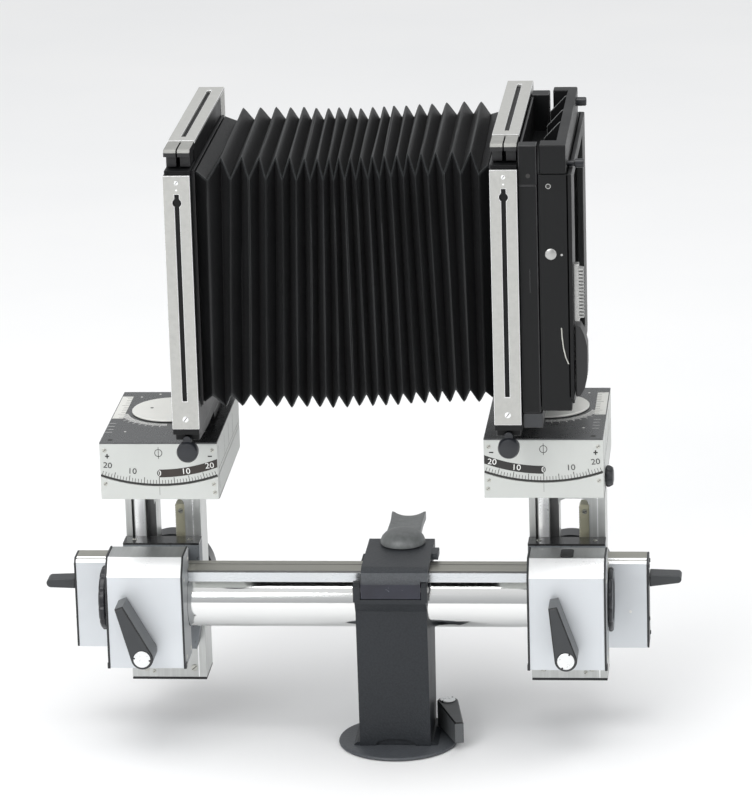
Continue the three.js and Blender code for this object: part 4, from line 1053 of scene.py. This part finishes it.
rng = np.random.default_rng(7)
CORN = np.array([(-1, 1), (1, 1), (1, -1), (-1, -1)], float)  # near-top, far-top, far-bottom, near-bottom
fold = []
for kind, xs in ROWS:
    jit = rng.normal(0, 0.22, 4) if kind != "F" else np.zeros(4)
    dj = rng.normal(0, 0.18) if kind != "F" else 0.0
    hy, hz = {"F": (68.6, 68.6), "T": (63.6 + dj, 74.0 + dj), "S": (73.3 + dj, 64.0 + dj)}[kind]
    pts = []
    for k in range(4):
        x = xs[k] + jit[k]
        pts.append((x, CORN[k, 0] * hy, zmid(x) + CORN[k, 1] * hz))
    fold.append(np.array(pts))
fold = np.array(fold)  # NR x 4 x 3

SUB = [0.0, 0.07, 0.2, 0.42, 0.65, 0.86, 0.96]
EDGE_IN = [0.0, 0.55, 1.3, 3.0]


def side_params(n_mid=9):
    """Positions along one side, dense by the corners, as (fraction, offset mm) pairs."""
    out = [("a", o) for o in EDGE_IN] + [("f", (i + 1) / (n_mid + 1)) for i in range(n_mid)] + [("b", o) for o in reversed(EDGE_IN[1:])]
    return out


SP = side_params()
NS = len(SP)
grid, rowp, edge_wear_and_sheen = [], [], []
for r in range(NR - 1):
    for si, t in enumerate(SUB if r < NR - 2 else SUB + [1.0]):
        # depth profile: rounded at the outer fold, crisper at the inner one
        A, B = fold[r], fold[r + 1]
        te = t
        if ROWS[r][0] != "F" and ROWS[r + 1][0] != "F":
            te = 0.72 * t + 0.28 * (0.5 - 0.5 * math.cos(math.pi * t))
        cor = A.copy()
        cor[:, 0] = A[:, 0] * (1 - t) + B[:, 0] * t
        cor[:, 1:] = A[:, 1:] * (1 - te) + B[:, 1:] * te
        line, el = [], []
        for k in range(4):
            p, q = cor[k], cor[(k + 1) % 4]
            ln = np.linalg.norm(q - p)
            for kind, o in SP:
                f = o / ln if kind == "a" else (1 - o / ln if kind == "b" else o)
                pt = p * (1 - f) + q * f
                # cloth bows a little between the stiff corners
                bow = math.sin(math.pi * f)
                horizontal = k in (0, 2)
                ridge = abs(t - 0.5) * 2
                amt = 0.5 * bow * (1 - ridge)
                pt = pt.copy()
                if kind in "ab" and o == 0.0:
                    pass
                else:
                    pt[0] += 0.35 * bow * math.sin(r * 1.7 + k * 2.1)
                if horizontal:
                    pt[2] -= (1 if k == 0 else -1) * amt * 0.6
                else:
                    pt[1] -= (1 if k == 1 else -1) * amt * 0.6
                line.append(pt)
                near = 1.0 if (kind in "ab" and o == 0.0) else (0.75 if o == EDGE_IN[1] and kind in "ab" else (0.12 if o == EDGE_IN[2] and kind in "ab" else 0.0))
                # outer folds of this side are lightened: rubbed cloth, and a painted highlight on the ridges
                outer_row = "T" if horizontal else "S"
                d0 = min(t, 1) if ROWS[r][0] == outer_row else (1 - t if ROWS[r + 1][0] == outer_row else 1)
                fold_wear_and_sheen = max(0.0, 1 - d0 / 0.16) * (0.62 if horizontal else 0.50)
                el.append(max(near, fold_wear_and_sheen))
        grid.append(line)
        edge_wear_and_sheen.append(el)
        rowp.append(r + t)
grid = np.array(grid)
edge_wear_and_sheen = np.array(edge_wear_and_sheen)
rowp = np.array(rowp)
NG, NP = grid.shape[:2]

REG = [("front_swing", "front_tilt", 0, 5), ("front_tilt", "front_shift", 5, 10), ("front_shift", "front_column", 10, 12),
       ("front_column", "front_carriage", 12, 14), ("front_carriage", "rail", 14, 19), ("rail", "rear_carriage", 19, 24),
       ("rear_carriage", "rear_column", 24, 26), ("rear_column", "rear_shift", 26, 28), ("rear_shift", "rear_tilt", 28, 35),
       ("rear_tilt", "rear_swing", 35, 40)]
REG[-1] = ("rear_tilt", "rear_swing", 35, NR - 1)
first = True
for num, (a, b, r0, r1) in enumerate(REG):
    sel = [i for i in range(NG) if r0 - 1e-9 <= rowp[i] <= r1 + 1e-9]
    verts = []
    for i in sel:
        verts += [tuple(v * MM) for v in grid[i]]
    faces = []
    for i in range(len(sel) - 1):
        for j in range(NP):
            k = (j + 1) % NP
            faces.append((i * NP + j, i * NP + k, (i + 1) * NP + k, (i + 1) * NP + j))
    name = f"bellows_{num + 1:02d}"
    me = bpy.data.meshes.new(name)
    me.from_pydata(verts, [], faces)
    me.materials.append(HIDE)
    for pz in me.polygons:
        pz.use_smooth = True
    ea = me.attributes.new("edge_wear_and_sheen", "FLOAT", "POINT")
    ea.data.foreach_set("value", np.array([edge_wear_and_sheen[i] for i in sel], np.float32).ravel())
    me.set_sharp_from_angle(angle=math.radians(75))
    ob = bpy.data.objects.new(name, me)
    scene.collection.objects.link(ob)
    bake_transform(ob, a, b, start=(grid[sel[0]][:, 0].mean() * MM, 0, 0.3), end=(grid[sel[-1]][:, 0].mean() * MM, 0, 0.3))
    w = np.array([[(rowp[i] - r0) / (r1 - r0)] * NP for i in sel], np.float32).ravel()
    me.attributes["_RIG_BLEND"].data.foreach_set("value", w)
    sol = ob.modifiers.new("cloth_thickness", "SOLIDIFY")
    sol.thickness = 0.0005
    sol.offset = -1.0
    sol.use_rim = True
    if first:
        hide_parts("bellows")
        first = False

# ================================================================ rear back
SW = "rear_swing"
k = bx("back_adapter")
K0 = 83.7
bm = bmesh.new()
poly(bm, "x", K0 + 0.35, K0 + 11, [(-80, 231.5), (80, 231.5), (80, 366), (-80, 366)], [[(-58, 248), (-58, 364), (58, 364), (58, 248)]])
box(bm, K0 + 0.35, K0 + 11, -80, -70, 365.8, 389.2)
box(bm, K0 + 0.35, K0 + 11, 55, 67, 365.8, 388)
box(bm, K0 + 0.35, K0 + 2, -70.2, 55.2, 365.8, 387)
put("back_adapter_skin", bm, [BLACKCAST, BLACKEDGE], SW, bevel=0.6, segs=3, bevmat=1, replaces=("back_adapter",), weld=False)
bm = bmesh.new()
box(bm, K0 + 1, K0 + 12, -80, 80, 222.6, 231.3)
put("back_adapter_foot", bm, [surf("slate_block", (0.035, 0.037, 0.04), 0.4, 0.2, var=0.1, vscale=60, grain=1500, bump=0.3), BLACKEDGE], SW, bevel=0.35, bevmat=1)
bm = bmesh.new()
lathe(bm, "y", K0 + 6.0, 371.5, [(0, -80.08), (1.3, -80.08), (1.3, -79.9), (0, -79.9)], 24, 1)
box(bm, K0 + 5.9, K0 + 6.3, -80.12, -79.9, 303, 317, 0)
put("back_adapter_marks", bm, [BLACKEDGE, BLACK_INK_AND_SHADE], SW, bevel=0)

bm = bmesh.new()
X0, X1 = K0 + 11.4, K0 + 30.5
# near and far posts, rails top and bottom
poly(bm, "x", K0 + 12.4, X1 - 1.5, [(-79, 232.4), (79, 232.4), (79, 372), (-79, 372)], [[(-60, 240), (-60, 369.9), (60, 369.9), (60, 240)]])
poly(bm, "x", X1 - 3.5, X1, [(-76, 236), (76, 236), (79, 240), (79, 372), (-79, 372), (-79, 240)], [[(-50, 248), (-50, 364), (50, 364), (50, 248)]])
box(bm, K0 + 11.4, K0 + 13, -79, -66, 232.4, 372)
box(bm, K0 + 11.4, K0 + 13, 66, 79, 232.4, 372)
put("back_body_skin", bm, [BLACKCAST, BLACKEDGE], SW, bevel=0.6, bevmat=-1, replaces=("back_body",), weld=False)
bm = bmesh.new()
# top bar with widened corner blocks and three slanted ribs
poly(bm, "z", 372.2, 389, [(K0 + 21.5, -66), (K0 + 21.5, 62), (K0 + 12.9, 62), (K0 + 12.9, 71.3), (K0 + 27, 71.3), (K0 + 27.4, -79.02), (K0 + 12.4, -79.02), (K0 + 12.4, -66)])
put("back_top_bar", bm, [BLACKCAST, BLACKEDGE], SW, bevel=0.8, segs=3, bevmat=-1)
bm = bmesh.new()
for i, y in enumerate((-16, 15, 52)):
    poly(bm, "y", y, y + 1.6, [(K0 + 11.6, 372.3), (K0 + 21.6, 372.3), (K0 + 21.6, 388), (K0 + 20.4, 387.4), (K0 + 11.6, 378.2)])
put("back_ribs", bm, [BLACKCAST, RIBEDGE], SW, bevel=0.3, bevmat=1)
bm = bmesh.new()
lathe(bm, "y", K0 + 17.3, 365.2, [(1.05, -79.0), (1.55, -79.0), (1.5, -79.3), (1.15, -79.3), (1.05, -79.0)], 32, 1)
# dark disc inside the steel ring stands for the hole: painted shade
lathe(bm, "y", K0 + 17.3, 365.2, [(0, -79.08), (1.1, -79.08), (1.1, -78.9), (0, -78.9)], 24, 2)
lathe(bm, "y", K0 + 18.2, 325.5, [(0, -78.8), (3.25, -78.8), (3.25, -79.3), (2.6, -79.75), (0, -79.9)], 40, 1)
lathe(bm, "y", K0 + 24.4, 325.0, [(0, -78.9), (0.7, -78.9), (0.7, -79.2), (0, -79.2)], 12, 1)
put("back_fittings", bm, [BLACKEDGE, STEEL, BLACK_INK_AND_SHADE], SW, bevel=0, smooth=35)
# thin bright spring clip along the post
bm = bmesh.new()
path = [(K0 + 23.6, 282), (K0 + 23.9, 276), (K0 + 24.6, 270), (K0 + 25.8, 264.5), (K0 + 27.4, 260.6)]
for (xa, za), (xb_, zb_) in zip(path, path[1:]):
    poly(bm, "y", -79.5, -78.8, [(xa - 0.35, za), (xa + 0.35, za), (xb_ + 0.35, zb_), (xb_ - 0.35, zb_)])
put("back_clip", bm, [SCREWM], SW, bevel=0.08)
bm = bmesh.new()
lathe(bm, "x", 56, 383.4, [(0, K0 + 27), (2.65, K0 + 27), (2.65, K0 + 32.2), (2.2, K0 + 32.9), (0, K0 + 32.9)], 32)
lathe(bm, "x", -60, 374, [(0, K0 + 27), (1.6, K0 + 27), (1.6, K0 + 31.5), (2.65, K0 + 31.8), (2.65, K0 + 36.2), (2.2, K0 + 36.9), (0, K0 + 36.9)], 32)
put("back_release_knobs", bm, [KNOBM], SW, bevel=0, smooth=38)
g = bx("ground_glass")
bm = bmesh.new()
box(bm, g[0], g[3], g[1], g[4], g[2], g[5])
put("ground_glass_skin", bm, [GLASS], SW, bevel=0.3, replaces=("ground_glass",))
bm = bmesh.new()
for i in range(1, 6):
    y = -50 + i * 100 / 6
    box(bm, g[3], g[3] + 0.05, y - 0.12, y + 0.12, 248, 364, 0)
for i in range(1, 7):
    z = 248 + i * 116 / 7
    box(bm, g[3], g[3] + 0.06, -50, 50, z - 0.12, z + 0.12, 0)
put("ground_glass_grid", bm, [GREY_INK_AND_SHADE], SW, bevel=0)
s = bx("back_slider")
bm = bmesh.new()
poly(bm, "x", s[0], s[0] + 2.6, rrect(s[1], s[4], s[2], s[5], 0.8, 3), mi=0)
for i in range(15):
    z = s[2] + 2.2 + i * 2.0
    poly(bm, "y", s[1] + 0.6, s[4] - 0.6, [(s[0] + 2.4, z), (s[3], z + 0.3), (s[3], z + 1.0), (s[0] + 2.4, z + 1.5)], mi=0)
put("back_slider_skin", bm, [STEEL], "back_slider", bevel=0.12, replaces=("back_slider",))
l = bx("back_latch")
bm = bmesh.new()
poly(bm, "y", l[1], l[4], [(K0 + 31, 240), (K0 + 33.6, 240), (K0 + 36.2, 244.5), (K0 + 37.6, 251), (K0 + 38, 258), (K0 + 38, 270), (K0 + 36.4, 276.5), (K0 + 34.2, 281.5), (K0 + 31, 283)])
put("back_latch_skin", bm, [BLACKP, BLACKEDGE], "back_latch", bevel=0.7, segs=3, angle=20, replaces=("back_latch",))

# ============================================================ stage, light
bm = bmesh.new()
lathe(bm, "z", 0, 0, [(0, -0.02), (14000, -0.02)], 96)
bm.transform(Matrix.Scale(MM, 4))
me = bpy.data.meshes.new("floor")
bm.to_mesh(me)
bm.free()
fl = bpy.data.objects.new("floor", me)
scene.collection.objects.link(fl)
m, nt, b = principled("pale_floor")
n_ = noise(nt, coords(nt), 3.0, 3)
nt.links.new(mixcol(nt, maprange(nt, n_, 0.3, 0.7, 0, 1), (0.86, 0.865, 0.87), (0.89, 0.89, 0.89)), b.inputs["Base Color"])
b.inputs["Roughness"].default_value = 0.75
me.materials.append(m)

world = bpy.data.worlds.new("studio")
scene.world = world
world.use_nodes = True
nt = world.node_tree
nt.nodes.clear()
out = nt.nodes.new("ShaderNodeOutputWorld")
bg = nt.nodes.new("ShaderNodeBackground")
tc = nt.nodes.new("ShaderNodeTexCoord")
sep = nt.nodes.new("ShaderNodeSeparateXYZ")
nt.links.new(tc.outputs["Generated"], sep.inputs[0])
ramp = nt.nodes.new("ShaderNodeValToRGB")
ramp.color_ramp.elements[0].position = 0.0
ramp.color_ramp.elements[0].color = (0.50, 0.51, 0.52, 1)
ramp.color_ramp.elements[1].position = 1.0
ramp.color_ramp.elements[1].color = (1.0, 1.0, 1.0, 1)
e = ramp.color_ramp.elements.new(0.35)
e.color = (0.62, 0.63, 0.64, 1)
nt.links.new(sep.outputs["Z"], ramp.inputs[0])
nt.links.new(ramp.outputs[0], bg.inputs["Color"])
bg.inputs["Strength"].default_value = 0.98
nt.links.new(bg.outputs[0], out.inputs[0])


def area(name, loc, target, sx, sy, power, col=(1, 1, 1)):
    ld = bpy.data.lights.new(name, "AREA")
    ld.shape = "RECTANGLE"
    ld.size = sx
    ld.size_y = sy
    ld.energy = power
    ld.color = col
    o = bpy.data.objects.new(name, ld)
    scene.collection.objects.link(o)
    o.location = loc
    o.rotation_mode = "QUATERNION"
    o.rotation_quaternion = (Vector(target) - Vector(loc)).to_track_quat("-Z", "Y")
    return o


area("key", (-1.0, -2.2, 1.5), (0, 0, 0.2), 1.2, 0.9, 26)
area("overhead", (0.0, -0.5, 2.2), (0, 0, 0.1), 2.2, 1.2, 25)
area("fill", (2.0, -1.6, 1.0), (0, 0, 0.2), 1.0, 1.4, 7)
